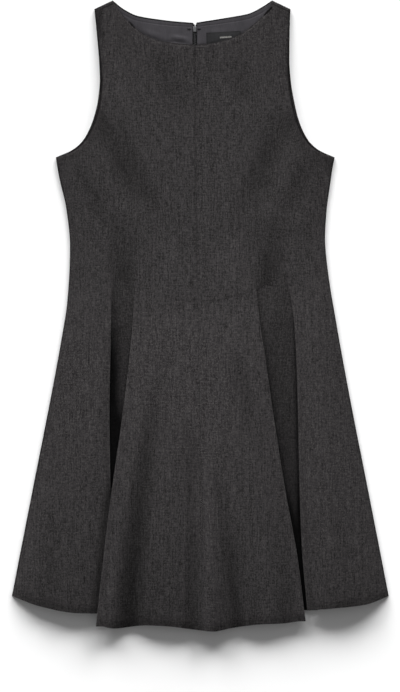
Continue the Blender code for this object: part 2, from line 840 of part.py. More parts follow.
def zip_chain(material, collection):
    """Both tapes and the closed coil between them."""
    right = [COIL_HALF, COIL_HALF + 0.0005, 0.0065, TAPE_HALF]
    across = [-x for x in reversed(right)] + right

    def surface(x, v):
        y = mix(CHAIN_TOP_Y, ZIP_END_Y, v)
        raised = COIL_HEIGHT if abs(x) <= COIL_HALF else 0.0
        x += centre_x(y)
        return Vector((x, y, BACK_TOP + BENT_GAP + TAPE + zip_hump(x, y) + raised))

    rows = [0, 0.015, 0.03, 0.042, 0.054, 0.066, 0.08, 0.2, 0.35, 0.5, 0.66, 0.83, 1]
    sheet("zip_chain", surface, across, rows, TAPE, material, collection)


def block(size, place):
    shape = bmesh.new()
    bmesh.ops.create_cube(shape, size=1.0)
    bmesh.ops.scale(shape, vec=size, verts=shape.verts)
    bmesh.ops.translate(shape, vec=place, verts=shape.verts)
    return shape


def boolean(node, operation, tool):
    modifier = node.modifiers.new(operation.lower(), "BOOLEAN")
    modifier.operation = operation
    modifier.object = tool
    modifier.solver = "EXACT"


def zip_slider(material, collection, tools):
    """The body rides inside the back; its ear passes between the back halves."""
    x = centre_x(SLIDER_Y)
    low = HUMP + BACK_TOP + GAP
    body = block(SLIDER_SIZE, (0, 0, 0))
    for vertex in body.verts:
        if vertex.co.y < 0:
            vertex.co.x *= 0.82
    bmesh.ops.bevel(body, geom=body.edges, offset=0.0007, segments=2, affect="EDGES",
                    profile=0.5, material=-1)
    slider = add_mesh("zip_slider", body, material, collection)
    slider.location = (x, SLIDER_Y, low + SLIDER_SIZE[2] / 2)

    ear_height = low + 0.0012 - EAR_FLOOR
    ear = add_mesh("slider_ear", block((*EAR_SIZE, ear_height), (0, 0, ear_height / 2)), material, tools)
    ear.location = (x, HINGE_Y, EAR_FLOOR)

    bore = bmesh.new()
    bmesh.ops.create_cone(bore, cap_ends=True, segments=20, radius1=HINGE_HOLE,
                          radius2=HINGE_HOLE, depth=0.004)
    hole = add_mesh("slider_hole", bore, material, tools)
    hole.location = (x, HINGE_Y, HINGE_Z)
    hole.rotation_euler.y = math.radians(90)
    for tool in (ear, hole):
        tool.hide_render = True
        tool.display_type = "WIRE"
    boolean(slider, "UNION", ear)
    boolean(slider, "DIFFERENCE", hole)


def zip_pull(material, collection):
    """A flat drop with a window at its hinge end, lying under the back."""
    outline = bpy.data.curves.new("zip_pull", "CURVE")
    outline.dimensions = "2D"
    outline.fill_mode = "BOTH"
    outline.extrude = PULL_WALL / 2
    alongs = list(PULL_OUTLINE["along"][:3]) + list(np.linspace(0.0062, PULL_LENGTH, 7))
    right = [(read(PULL_OUTLINE, "along", "half", along), -along) for along in alongs]
    left = [(-x, y) for x, y in reversed(right)]
    window_y = (-0.0004, -WINDOW_END)
    window = [(WINDOW_HALF, window_y[0]), (WINDOW_HALF, window_y[1]),
              (-WINDOW_HALF, window_y[1]), (-WINDOW_HALF, window_y[0])]
    for points in (right + left, window):
        spline = outline.splines.new("POLY")
        spline.points.add(len(points) - 1)
        for point, (x, y) in zip(spline.points, points):
            point.co = (x, y, 0, 1)
        spline.use_cyclic_u = True
    pull = add_object("zip_pull", outline, material, collection)
    pull.location = (centre_x(HINGE_Y), HINGE_Y, HINGE_Z)
    pull.rotation_euler.x = PULL_TILT


# ---------------------------------------------------------------- build


def build():
    for item in list(bpy.data.objects):
        bpy.data.objects.remove(item, do_unlink=True)

    dress = bpy.data.collections.new("peplum_dress")
    tools = bpy.data.collections.new("cutters")
    for collection in (dress, tools):
        bpy.context.scene.collection.children.link(collection)

    wool = finish("wool", (0.040, 0.038, 0.039), 0.92)
    satin = finish("lining_satin", (0.060, 0.058, 0.065), 0.45)
    label = finish("label_weave", (0.020, 0.020, 0.021), 0.70)
    tape = finish("zip_tape", (0.022, 0.021, 0.022), 0.80)
    metal = finish("zip_enamel", (0.110, 0.110, 0.112), 0.40)

    for side in (-1, 1):
        front_centre(side, wool, dress)
        front_side(side, wool, dress)
        skirt_centre(side, wool, dress)
        skirt_side(side, wool, dress)
        bodice_back(side, wool, dress)
        skirt_back(side, wool, dress)
        lining(side, satin, dress)
    neck_label(label, dress)
    zip_chain(tape, dress)
    zip_slider(metal, dress, tools)
    zip_pull(metal, dress)


build()
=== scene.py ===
import bisect
import math
from functools import lru_cache

import bmesh
import bpy
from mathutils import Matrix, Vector


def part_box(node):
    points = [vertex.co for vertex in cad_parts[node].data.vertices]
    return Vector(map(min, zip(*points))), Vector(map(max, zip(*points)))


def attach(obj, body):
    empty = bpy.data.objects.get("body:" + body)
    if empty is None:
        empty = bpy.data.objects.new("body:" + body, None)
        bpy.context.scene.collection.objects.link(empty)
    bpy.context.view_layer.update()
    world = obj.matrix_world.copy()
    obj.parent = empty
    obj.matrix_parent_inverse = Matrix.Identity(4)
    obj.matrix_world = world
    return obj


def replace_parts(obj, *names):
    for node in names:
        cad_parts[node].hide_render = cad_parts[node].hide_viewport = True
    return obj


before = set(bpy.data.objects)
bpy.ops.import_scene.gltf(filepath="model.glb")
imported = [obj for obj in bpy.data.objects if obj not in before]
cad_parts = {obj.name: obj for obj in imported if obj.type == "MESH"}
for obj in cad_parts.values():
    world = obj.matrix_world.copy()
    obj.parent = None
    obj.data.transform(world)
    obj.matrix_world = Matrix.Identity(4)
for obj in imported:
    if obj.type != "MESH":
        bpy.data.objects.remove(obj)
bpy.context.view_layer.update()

print("frame loaded with", len(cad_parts), "nodes")
hand = {-1: "left", 1: "right"}


# ---- small tools: curves, edges and grids

def mix(first, last, share):
    return first + (last - first) * share


def ease(share):
    share = min(max(share, 0.0), 1.0)
    return share * share * (3 - 2 * share)


def smoothCurve(xs, ys):
    # goes through every point and never past the highest or lowest of them
    if xs[0] > xs[-1]:
        xs, ys = xs[::-1], ys[::-1]
    steps = [b - a for a, b in zip(xs, xs[1:])]
    slopes = [(b - a) / step for a, b, step in zip(ys, ys[1:], steps)]
    tangents = [slopes[0]]
    for before, after in zip(slopes, slopes[1:]):
        tangents.append(2 * before * after / (before + after) if before * after > 0 else 0.0)
    tangents.append(slopes[-1])

    def value(x):
        x = min(max(x, xs[0]), xs[-1])
        i = min(bisect.bisect_right(xs, x) - 1, len(xs) - 2)
        step = steps[i]
        s = (x - xs[i]) / step
        return ((1 + 2 * s) * (1 - s) ** 2 * ys[i] + s * (1 - s) ** 2 * step * tangents[i]
                + s * s * (3 - 2 * s) * ys[i + 1] + s * s * (s - 1) * step * tangents[i + 1])

    return value


def columns(names, *rows):
    # one curve for each named column, read by the first column
    lists = [list(column) for column in zip(*rows)]
    return {name: smoothCurve(lists[0], lists[k + 1]) for k, name in enumerate(names.split()[1:])}


def runAlong(points, least=0.0):
    # how far along the points each one lies
    run = [0.0]
    for a, b in zip(points, points[1:]):
        run.append(run[-1] + max((b - a).length, least))
    return run


def lineThrough(points):
    # a cut edge as a function of the share of the way along it
    points = [Vector(point) for point in points]
    run = runAlong(points, 1e-7)
    shares = [r / run[-1] for r in run]
    axes = [smoothCurve(shares, [point[k] for point in points]) for k in range(len(points[0]))]
    return lambda share: Vector([axis(share) for axis in axes])


def joined(first, last, split):
    return lambda share: first(share / split) if share < split else last((share - split) / (1 - split))


def stretch(whole, start, end):
    return lambda share: whole(mix(start, end, share))


def beside(line, apart, swell=lambda share: 1.0):
    def place(share):
        along = line(min(share + 0.01, 1)) - line(max(share - 0.01, 0))
        return line(share) + Vector((-along.y, along.x)).normalized() * (apart * swell(share))
    return place


def stations(length, coarse, fine=(), fineStep=0.0009):
    # shares of a length, closer together in the fine stretches
    at, shares = 0.0, []
    while at < length - 0.4 * fineStep:
        shares.append(at / length)
        inside = any(start - 1e-9 <= at < end for start, end in fine)
        ahead = [start - at for start, end in fine if start > at + 1e-9]
        at += fineStep if inside else min([coarse] + ahead)
    return shares + [1.0]


def patchRows(top, bottom, outer, inner, across, down):
    # a panel filled in between its four edges, row by row from the top
    tops, bottoms = [top(u) for u in across], [bottom(u) for u in across]
    corners = top(0), top(1), bottom(0), bottom(1)
    return [[
        mix(high, low, v) + mix(left, right, u)
        - mix(mix(corners[0], corners[1], u), mix(corners[2], corners[3], u), v)
        for u, high, low in zip(across, tops, bottoms)
    ] for v, left, right in zip(down, map(outer, down), map(inner, down))]


def laid(rows, across, down, place):
    # lays a flat panel on its form: place gives the height and shade of each spot from its shares
    raised, shades = [], []
    for v, row in zip(down, rows):
        found = [place(point.x, point.y, u, v) for u, point in zip(across, row)]
        raised.append([Vector((point.x, point.y, z)) for point, (z, _) in zip(row, found)])
        shades.append([shade for _, shade in found])
    return raised, shades


def cutSize(rows):
    # width, length and area of a piece along its cloth
    width, length = (max(runAlong(line)[-1] for line in lines) for lines in (rows, list(zip(*rows))))
    area = sum((b - c).cross(a - d).length / 2 for upper, lower in zip(rows, rows[1:])
               for a, b, c, d in zip(upper, upper[1:], lower, lower[1:]))
    return width, length, area


def addPiece(name, shape, material, slot):
    mesh = bpy.data.meshes.new(name)
    shape.to_mesh(mesh)
    shape.free()
    mesh.materials.append(material)
    piece = bpy.data.objects.new(name, mesh)
    bpy.context.scene.collection.objects.link(piece)
    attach(piece, "dress")
    return piece


def clothPiece(name, rows, wall, material, slot, rim=0.00015, shades=None, weaveShift=0.0):
    # rows of places laid on a grid, face up, with the wall below them
    high, wide = len(rows), len(rows[0])
    middle = wide // 2
    way = 1 if rows[0][-1].x > rows[0][0].x else -1
    grain = []
    for row in rows:
        run = runAlong(row)
        grain.append([row[middle].x + way * (r - run[middle]) for r in run])
    shape = bmesh.new()
    bmesh.ops.create_grid(shape, x_segments=wide - 1, y_segments=high - 1, size=0.5)
    weave = shape.loops.layers.uv.new("weave")
    # the shade layer holds painted shade, which darkens the cloth's colour
    depth = shape.verts.layers.float.new("shade")
    spots = {}
    for vertex in shape.verts:
        i, j = round((vertex.co.x + 0.5) * (wide - 1)), round((0.5 - vertex.co.y) * (high - 1))
        spots[vertex] = i, j
        vertex.co = rows[j][i]
        vertex[depth] = shades[j][i] if shades else 0.0
    for face in shape.faces:
        face.smooth = True
        for loop in face.loops:
            i, j = spots[loop.vert]
            loop[weave].uv = grain[j][i], rows[j][i].y + weaveShift
    shape.normal_update()
    if sum(face.normal.z * face.calc_area() for face in shape.faces) < 0:
        bmesh.ops.reverse_faces(shape, faces=shape.faces)
    piece = addPiece(name, shape, material, slot)
    thick = piece.modifiers.new("wall", "SOLIDIFY")
    thick.thickness = wall
    thick.offset = -1
    thick.use_quality_normals = True
    if rim:
        soft = piece.modifiers.new("rim", "BEVEL")
        soft.width = rim
        soft.segments = 2
        soft.limit_method = "ANGLE"
        soft.angle_limit = math.radians(60)
    return piece


def sewPanel(node, side, rows, shades, weaveShift, cloth):
    # a panel of the dress takes its plain solid's place, and its cut's size is worked out
    words = node.split("_") + [hand[side]]
    name = words[0] + "".join(word.title() for word in words[1:])
    piece = clothPiece(name, rows, shades=shades, weaveShift=weaveShift * side, **cloth)
    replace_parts(piece, f"{node}_{hand[side]}")
    width, length, area = cutSize(rows)


# ---- materials

def newMaterial(name):
    material = bpy.data.materials.new(name)
    material.use_nodes = True
    return material, material.node_tree


def feed(tree, node, inputs):
    # a number is set on the socket itself, and a node's output is linked to it
    for key, value in inputs.items():
        if isinstance(value, bpy.types.NodeSocket):
            tree.links.new(value, node.inputs[key])
        else:
            node.inputs[key].default_value = value


def addNode(tree, kind, inputs, **settings):
    node = tree.nodes.new(kind)
    for key, value in settings.items():
        setattr(node, key, value)
    feed(tree, node, inputs)
    return node


def finishMaterial(material, relief, strength, height, **inputs):
    # the bump's relief, and the shader's own sockets by their names without spaces
    tree = material.node_tree
    shader = tree.nodes["Principled BSDF"]
    bump = addNode(tree, "ShaderNodeBump", {"Strength": strength, "Distance": height, "Height": relief})
    names = {name.replace(" ", "").lower(): name for name in shader.inputs.keys()}
    feed(tree, shader, {names[key.lower()]: value for key, value in inputs.items()})
    tree.links.new(bump.outputs[0], shader.inputs["Normal"])
    return material


def maths(tree, operation, first, second):
    return addNode(tree, "ShaderNodeMath", {0: first, 1: second}, operation=operation).outputs[0]


def weighed(tree, *parts):
    # the sum of some values, each with its weight
    total = maths(tree, "MULTIPLY", *parts[0])
    for part in parts[1:]:
        total = maths(tree, "ADD", total, maths(tree, "MULTIPLY", *part))
    return total


def weaveMap(tree):
    return addNode(tree, "ShaderNodeUVMap", {}, uv_map="weave").outputs[0]


def threads(tree, place, scale, detail=2.0):
    # noise stretched into threads: scale is in threads to the metre, across and along
    spread = addNode(tree, "ShaderNodeMapping", {"Vector": place, "Scale": (*scale, 1.0)}).outputs[0]
    inputs = {"Vector": spread, "Scale": 1.0, "Detail": detail, "Roughness": 0.6}
    return addNode(tree, "ShaderNodeTexNoise", inputs, noise_dimensions="2D").outputs["Fac"]


def ramp(tree, factor, *stops):
    node = addNode(tree, "ShaderNodeValToRGB", {"Fac": factor})
    while len(node.color_ramp.elements) < len(stops):
        node.color_ramp.elements.new(0.5)
    for element, (position, colour) in zip(node.color_ramp.elements, stops):
        element.position = position
        element.color = (*colour, 1.0)
    return node.outputs["Color"]


def blended(tree, factor, first, second, kind="MIX"):
    return addNode(tree, "ShaderNodeMix", {0: factor, 6: first, 7: second},
                   data_type="RGBA", blend_type=kind).outputs[2]


def shaded(tree, colour):
    # painted shade: the shade attribute darkens the cloth's colour deep in folds and creases, along edges
    # and seams and beside laps
    shade = addNode(tree, "ShaderNodeAttribute", {}, attribute_name="shade").outputs["Fac"]
    keep = maths(tree, "SUBTRACT", 1.0, maths(tree, "MULTIPLY", shade, wool["deepShade"]))
    kept = addNode(tree, "ShaderNodeCombineColor", {0: keep, 1: keep, 2: keep}).outputs[0]
    return blended(tree, 1.0, colour, kept, "MULTIPLY")


wool = {
    "dark": (0.0074, 0.0068, 0.0070),
    "middle": (0.0175, 0.0163, 0.0168),
    "light": (0.0343, 0.0321, 0.0325),
    "fleck": (0.0495, 0.0464, 0.0436),
    "warp": (440.0, 52.0, 0.32),       # threads to the metre, across and along, and how much they show
    "weft": (95.0, 500.0, 0.28),
    "mottle": (430.0, 240.0, 0.28),
    "cloud": (150.0, 12.0, 0.13),
    "flecks": (620.0, 480.0),
    "ribs": 320.0,
    "stops": (0.355, 0.50, 0.685),     # tones at which the cloth is dark, middle and light
    "fleckStops": (0.66, 0.78),
    "relief": (0.35, 1.2),             # how much the weave and its tones add to the bump
    "bump": (0.45, 0.00035),
    "roughness": 0.92,
    "deepShade": 0.72,                 # painted shade: how much darker the colour gets where the shade attribute is fullest, as at the bottom of a deep fold
}


def woolMaterial():
    material, tree = newMaterial("charcoalWool")
    place = weaveMap(tree)
    details = {"warp": 2.0, "weft": 2.0, "mottle": 1.0, "cloud": 2.0}
    tone = weighed(tree, *[(threads(tree, place, wool[name][:2], detail), wool[name][2])
                           for name, detail in details.items()])
    colour = ramp(tree, tone, *zip(wool["stops"], (wool["dark"], wool["middle"], wool["light"])))
    fleck = threads(tree, place, wool["flecks"], 0.0)
    fleck = ramp(tree, fleck, *zip(wool["fleckStops"], ((0, 0, 0), (0.5, 0.5, 0.5))))
    colour = blended(tree, fleck, colour, (*wool["fleck"], 1.0))
    # plain weave: each thread a small ridge, with loose fibres over it
    ribs = []
    for way, scale in (("X", (1.0, 0.0, 0.0)), ("Y", (0.0, 1.0, 0.0))):
        spread = addNode(tree, "ShaderNodeMapping", {"Vector": place, "Scale": scale}).outputs[0]
        ribs.append(addNode(tree, "ShaderNodeTexWave", {"Vector": spread, "Scale": wool["ribs"]},
                            bands_direction=way).outputs["Fac"])
    relief = weighed(tree, *zip((maths(tree, "MULTIPLY", *ribs), tone), wool["relief"]))
    return finishMaterial(material, relief, *wool["bump"], baseColor=shaded(tree, colour),
                          roughness=wool["roughness"], specularIorLevel=0.0,
                          sheenWeight=0.02, sheenRoughness=0.6)


satin = {
    "colour": (0.0263, 0.0249, 0.0277),
    "thread": (0.0373, 0.0355, 0.0392),
    "warp": (1500.0, 90.0, 0.6),
    "cloud": (60.0, 18.0, 0.4),
    "stops": (0.35, 0.68),
    "bump": (0.15, 0.0002),
    "roughness": 0.55,
    "uneven": 0.18,                    # how much the roughness changes along the warp
}


def satinMaterial():
    material, tree = newMaterial("slateSatin")
    place = weaveMap(tree)
    warp, cloud = (threads(tree, place, satin[name][:2]) for name in ("warp", "cloud"))
    tone = weighed(tree, (warp, satin["warp"][2]), (cloud, satin["cloud"][2]))
    colour = shaded(tree, ramp(tree, tone, *zip(satin["stops"], (satin["colour"], satin["thread"]))))
    uneven = satin["uneven"]
    rough = maths(tree, "ADD", maths(tree, "MULTIPLY", warp, uneven), satin["roughness"] - uneven / 2)
    return finishMaterial(material, warp, *satin["bump"], baseColor=colour, roughness=rough,
                          specularIorLevel=0.05)


labelWeave = {
    "ground": (0.0120, 0.0120, 0.0127),
    "thread": (0.0190, 0.0190, 0.0200),
    "bar": (0.155, 0.151, 0.144),
    "barPlace": (0.0200, 0.0375),      # start and end along the label
    "barDepth": (0.0070, 0.0094),      # upper and lower edge below its top
}


def labelMaterial():
    material, tree = newMaterial("wovenLabel")
    place = weaveMap(tree)
    spot = addNode(tree, "ShaderNodeSeparateXYZ", {"Vector": place}).outputs
    weft = threads(tree, place, (300.0, 3200.0), 1.0)
    ground = ramp(tree, weft, (0.35, labelWeave["ground"]), (0.65, labelWeave["thread"]))
    mask = 1.0
    for value, (start, end) in ((spot[0], labelWeave["barPlace"]), (spot[1], labelWeave["barDepth"])):
        mask = maths(tree, "MULTIPLY", maths(tree, "GREATER_THAN", value, start), mask)
        mask = maths(tree, "MULTIPLY", maths(tree, "LESS_THAN", value, end), mask)
    ribs = threads(tree, place, (1400.0, 500.0), 0.0)
    bar = ramp(tree, ribs, (0.40, tuple(0.55 * c for c in labelWeave["bar"])), (0.60, labelWeave["bar"]))
    colour = shaded(tree, blended(tree, mask, ground, bar))
    return finishMaterial(material, weft, 0.3, 0.0002, baseColor=colour, roughness=0.75,
                          specularIorLevel=0.06)


def yarnMaterial(name, dark, light, scale, roughness):
    # woven tape and nylon, on object coordinates
    material, tree = newMaterial(name)
    place = addNode(tree, "ShaderNodeTexCoord", {}).outputs["Object"]
    yarn = threads(tree, place, scale, 1.0)
    colour = ramp(tree, yarn, (0.38, dark), (0.66, light))
    return finishMaterial(material, yarn, 0.3, 0.0002, baseColor=colour, roughness=roughness,
                          specularIorLevel=0.15)


def enamelMaterial(name, colour, worn, roughness, metallic):
    # enamel over metal, a little brighter and smoother where it is rubbed
    material, tree = newMaterial(name)
    place = addNode(tree, "ShaderNodeTexCoord", {}).outputs["Object"]
    noise = {"Vector": place, "Scale": 900.0, "Detail": 3.0}
    rub = addNode(tree, "ShaderNodeTexNoise", noise).outputs["Fac"]
    rough = maths(tree, "SUBTRACT", roughness + 0.12, maths(tree, "MULTIPLY", rub, 0.24))
    colour = ramp(tree, rub, (0.40, colour), (0.70, worn))
    return finishMaterial(material, rub, 0.15, 0.0001, baseColor=colour, roughness=rough, metallic=metallic)


tapeCloth = yarnMaterial("zipTape", (0.0030, 0.0030, 0.0033), (0.0060, 0.0060, 0.0064),
                         (900.0, 1800.0), 0.85)
coilNylon = yarnMaterial("zipCoil", (0.0140, 0.0137, 0.0147), (0.0220, 0.0216, 0.0230),
                         (200.0, 600.0), 0.60)
sliderEnamel = enamelMaterial("sliderEnamel", (0.060, 0.060, 0.063), (0.088, 0.088, 0.092), 0.40, 0.2)
woolLayer = {"wall": 0.0015, "material": woolMaterial(), "slot": "wool"}
satinLayer = {"wall": 0.0010, "material": satinMaterial(), "slot": "lining_satin", "rim": 0.0003}
labelLayer = {"wall": 0.0006, "material": labelMaterial(), "slot": "label_weave", "rim": 0.0001}
tapeLayer = {"wall": 0.0008, "material": tapeCloth, "slot": "zip_tape", "rim": 0.0}
print("materials made")


# ---- the dress's lines, as laid out

shoulderY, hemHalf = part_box("bodice_back_left")[1][1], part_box("skirt_back_right")[1][0]
dress = {
    "gap": 0.0003,                     # between pieces that are sewn together or touch
    "bentGap": 0.0005,
    "shoulderDrop": 0.0130,
    "shoulderIn": 0.1193,              # half widths at the shoulders' tips and corners
    "shoulderOut": 0.1469,
    "shoulderShare": 1 / 6,            # of a bodice panel's top edge
    "waistHalf": 0.1913,
    "frontDip": 0.0869,                # how far the waist seam dips at the centre
    "backDip": 0.0340,
    "princessTopY": 0.3130,
    "armholeInset": 0.0042,
}
underarmY, waistSideY, hemSideY = 0.2375, 0.1090, -0.4204
backNeckY, frontNeckY = 0.4390, 0.4059
seam = 0.00006                         # half of what shows between two sewn edges
backTop = woolLayer["wall"]
frontLow = backTop + dress["gap"] + woolLayer["wall"]
liningTop = backTop + dress["bentGap"] + satinLayer["wall"]
strapLow = liningTop + dress["gap"] + woolLayer["wall"]

sideSeam = columns(
    "y half",
    (underarmY, 0.2090), (0.2036, 0.2032), (0.1586, 0.1951), (waistSideY, 0.1913), (0.0686, 0.1937),
    (0.0236, 0.1986), (-0.0364, 0.2084), (-0.1264, 0.2250), (-0.2464, 0.2486), (-0.3664, 0.2721),
    (hemSideY, 0.2825),
)["half"]
armholeRows = [
    (shoulderY - dress["shoulderDrop"], dress["shoulderOut"]), (0.4136, 0.1440), (0.3836, 0.1427),
    (0.3536, 0.1431), (0.3236, 0.1469), (0.2936, 0.1542), (0.2636, 0.1684), (0.2486, 0.1847),
    (underarmY, 0.2090),
]
armholeHalf = columns("y half", *armholeRows)["half"]
middleX = columns(                     # the bodice leans a little to the left of the skirt
    "y x",
    (shoulderY, -0.0124), (0.3836, -0.0092), (0.3236, -0.0066), (0.2636, -0.0070), (0.2186, -0.0080),
    (0.1736, -0.0061), (0.1076, -0.0041), (0.0536, -0.0019), (-0.0064, 0.0), (hemSideY, 0.0),
)["x"]
centreX = columns(
    "y x",
    (shoulderY, -0.0084), (frontNeckY, -0.0082), (0.2336, -0.0076), (0.0236, -0.0035), (-0.1324, -0.0005),
    (-0.4264, 0.0025), (-0.4727, 0.0028),
)["x"]
princessOut = [(0.2980, 0.1327), (0.2786, 0.1240), (0.2486, 0.1226), (0.1736, 0.1230), (0.0986, 0.1265),
               (0.0600, 0.1275)]
neckBack = columns(
    "share left right",
    (0.00, 0.0337, 0.0337), (0.22, 0.0315, 0.0295), (0.45, 0.0282, 0.0252), (0.70, 0.0228, 0.0196),
    (0.87, 0.0126, 0.0099), (1.00, 0.0, 0.0),
)
neckFront = columns(
    "share left right",
    (0.00, 0.0668, 0.0668), (0.20, 0.0648, 0.0648), (0.40, 0.0612, 0.0591), (0.55, 0.0550, 0.0531),
    (0.70, 0.0436, 0.0420), (0.85, 0.0262, 0.0270), (0.94, 0.0113, 0.0178), (1.00, 0.0, 0.0),
)


def outlineX(side, y):
    return middleX(y) + side * sideSeam(y)


def waistY(x, dip):
    return waistSideY - dip * (1 - min(abs((x - centreX(0.0)) / dress["waistHalf"]), 1.0) ** 2)


def waistCorner(side, dip):
    return waistY(outlineX(side, waistSideY), dip)


def waistLine(startX, endX, dip, apart):
    return lambda share: Vector((mix(startX, endX, share), waistY(mix(startX, endX, share), dip) + apart))


def sideSeamLine(side, high, low):
    return lineThrough([(outlineX(side, mix(high, low, k / 24)), mix(high, low, k / 24)) for k in range(25)])


def centreSeamLine(side, high, low, half=lambda y: seam):
    def place(share):
        y = mix(high, low, share)
        return Vector((centreX(y) + side * half(y), y))
    return place


def shoulderLine(side, inset=0.0, lower=0.0):
    # from the shoulder's corner to its tip
    x = middleX(shoulderY)
    corner = x + side * (dress["shoulderOut"] - inset), shoulderY - dress["shoulderDrop"] - lower
    return lineThrough([corner, (x + side * dress["shoulderIn"], shoulderY - lower)])


def neckline(side, drops, centreY):
    tip, centre = middleX(shoulderY) + side * dress["shoulderIn"], centreX(centreY) + side * seam
    return lineThrough([(mix(centre, tip, 1 - k / 24), shoulderY - drops[hand[side]](1 - k / 24))
                        for k in range(25)])


def armholeSwell(share):
    return math.sin(math.pi * share ** 1.6)


def armhole(side, inset=0.0):
    return beside(lineThrough([(middleX(y) + side * half, y) for y, half in armholeRows]),
                  -side * inset, armholeSwell)


def princessLeave(cut):
    # share of the armhole at which the princess seam leaves it
    return min((k / 400 for k in range(401)), key=lambda share: abs(cut(share).y - dress["princessTopY"]))


def princessLine(side, start):
    points = [start] + [Vector((centreX(y) + side * out, y)) for y, out in princessOut]
    points[-1].y = waistY(points[-1].x, dress["frontDip"])
    return lineThrough(points)


# ---- heights and painted shade: the laid form, seams and creases

frontHeights = columns(
    "y centre princess edge",
    (shoulderY, 0.0076, 0.0056, strapLow),
    (0.4400, 0.0098, 0.0080, 0.0056),
    (frontNeckY, 0.0112, 0.0100, 0.0068),
    (0.3236, 0.0122, 0.0132, 0.0084),
    (0.2620, 0.0128, 0.0148, 0.0056),
    (underarmY, 0.0130, 0.0152, frontLow),
    (0.1500, 0.0114, 0.0124, frontLow),
    (waistSideY, 0.0092, 0.0094, frontLow),
    (0.0221, 0.0070, 0.0070, frontLow),
)
formHalf = columns(                    # level under the armholes, whose edges stand a little proud
    "y half",
    (shoulderY, 0.1469), (0.3536, 0.1440), (0.3236, 0.1540), (0.2936, 0.1720), (0.2636, 0.1950),
    (underarmY, 0.2090), (0.2036, 0.2032), (0.1586, 0.1951), (waistSideY, 0.1913), (0.0221, 0.1987),
)["half"]
princessShare = 0.66
seamDip = {"reach": 0.0022, "depth": 0.00016}
waistDip = {"reach": 0.0022, "depth": 0.00005}
edgeRoll = {"reach": 0.0050, "depth": 0.0007}
# painted shade along cut edges and seams, where the cloth rolls away
paintedEdgeShade = {"reach": 0.0026, "shade": 0.95}
hump = {"height": 0.0022, "half": 0.0080, "fade": 0.0300, "lowY": 0.3850, "rise": 0.0240}

# start, bend and end of each crease, half width, height, and 1 where it runs out at the hem
bodiceCreases = [
    (-0.1500, 0.3250, -0.1110, 0.2190, -0.0560, 0.1250, 0.033, -0.0042, 0),
    (-0.1760, 0.2200, -0.1560, 0.1600, -0.1310, 0.1150, 0.020, -0.0024, 0),
    (0.1270, 0.3200, 0.1000, 0.2250, 0.0600, 0.1250, 0.033, -0.0038, 0),
    (0.1560, 0.2400, 0.1450, 0.1850, 0.1300, 0.1300, 0.022, -0.0020, 0),
    (-0.0650, 0.4050, -0.0430, 0.3450, -0.0260, 0.2700, 0.026, -0.0022, 0),
    (0.0500, 0.3900, 0.0640, 0.3450, 0.0740, 0.2900, 0.026, -0.0018, 0),
    (-0.1350, 0.3900, -0.1210, 0.3350, -0.0950, 0.2700, 0.016, 0.0012, 0),
    (-0.0700, 0.1300, -0.0500, 0.0800, -0.0480, 0.0200, 0.030, 0.0014, 0),
    (0.0560, 0.1300, 0.0460, 0.0800, 0.0480, 0.0200, 0.030, 0.0014, 0),
]
dartLines = [
    (-0.0680, 0.1960, -0.0700, 0.1300, -0.0755, 0.0450, 0.0026, -0.0011, 1),
    (0.0595, 0.2060, 0.0600, 0.1350, 0.0672, 0.0420, 0.0026, -0.0011, 1),
]
waistDents = [                         # middle, half width, reach upwards, depth
    (-0.1150, 0.0290, 0.105, 0.0036),
    (0.1040, 0.0310, 0.105, 0.0038),
]
skirtCreases = [
    (-0.0350, -0.0050, -0.0780, -0.2100, -0.1070, -0.4700, 0.028, -0.0092, 1),
    (-0.0480, -0.1000, -0.0760, -0.3000, -0.0860, -0.4700, 0.028, -0.0020, 1),
    (-0.1200, -0.2000, -0.1330, -0.3300, -0.1380, -0.4700, 0.020, 0.0034, 1),
    (-0.0185, -0.1500, -0.0110, -0.2250, -0.0130, -0.3300, 0.013, -0.0026, 0),
    (-0.0120, -0.2200, -0.0110, -0.3300, -0.0120, -0.4700, 0.017, -0.0046, 1),
    (0.0040, -0.1400, 0.0150, -0.2900, 0.0180, -0.4740, 0.018, 0.0072, 1),
    (0.0240, -0.1900, 0.0400, -0.3300, 0.0560, -0.4700, 0.018, -0.0062, 1),
    (0.0500, -0.0450, 0.0680, -0.1300, 0.0880, -0.2400, 0.018, -0.0040, 0),
    (0.1130, -0.1800, 0.1270, -0.3200, 0.1330, -0.4600, 0.018, -0.0026, 1),
    (0.0860, -0.3000, 0.0930, -0.3800, 0.1000, -0.4640, 0.022, 0.0022, 1),
    (-0.2080, -0.1800, -0.2170, -0.3000, -0.2260, -0.4300, 0.026, -0.0024, 1),
    (-0.1560, -0.0500, -0.1640, -0.2000, -0.1730, -0.3900, 0.020, 0.0012, 0),
    (0.2000, -0.1600, 0.2120, -0.2900, 0.2260, -0.4300, 0.024, -0.0018, 1),
    (0.1700, -0.0400, 0.1780, -0.1800, 0.1900, -0.3600, 0.020, 0.0010, 0),
]
backCreases = [                        # lifted off the surface, so only upwards
    (-0.0950, 0.0400, -0.1150, -0.1600, -0.1400, -0.4500, 0.024, 0.0034, 1),
    (0.0800, 0.0300, 0.1060, -0.1700, 0.1240, -0.4500, 0.026, 0.0038, 1),
    (0.0250, -0.1000, 0.0280, -0.2600, 0.0200, -0.4500, 0.020, 0.0026, 1),
    (-0.0500, -0.0800, -0.0480, -0.2600, -0.0560, -0.4500, 0.018, 0.0022, 1),
    (-0.1900, -0.1000, -0.2040, -0.2400, -0.2160, -0.4300, 0.020, 0.0020, 1),
    (0.1860, -0.1200, 0.2040, -0.2600, 0.2180, -0.4300, 0.018, 0.0016, 1),
    (-0.1300, 0.2600, -0.1150, 0.2000, -0.0900, 0.1300, 0.020, 0.0018, 0),
    (0.1250, 0.2500, 0.1050, 0.1900, 0.0850, 0.1200, 0.020, 0.0016, 0),
    (-0.0450, 0.3000, -0.0400, 0.2200, -0.0480, 0.1400, 0.016, 0.0010, 0),
    (0.0400, 0.2900, 0.0380, 0.2100, 0.0300, 0.1300, 0.016, 0.0012, 0),
]
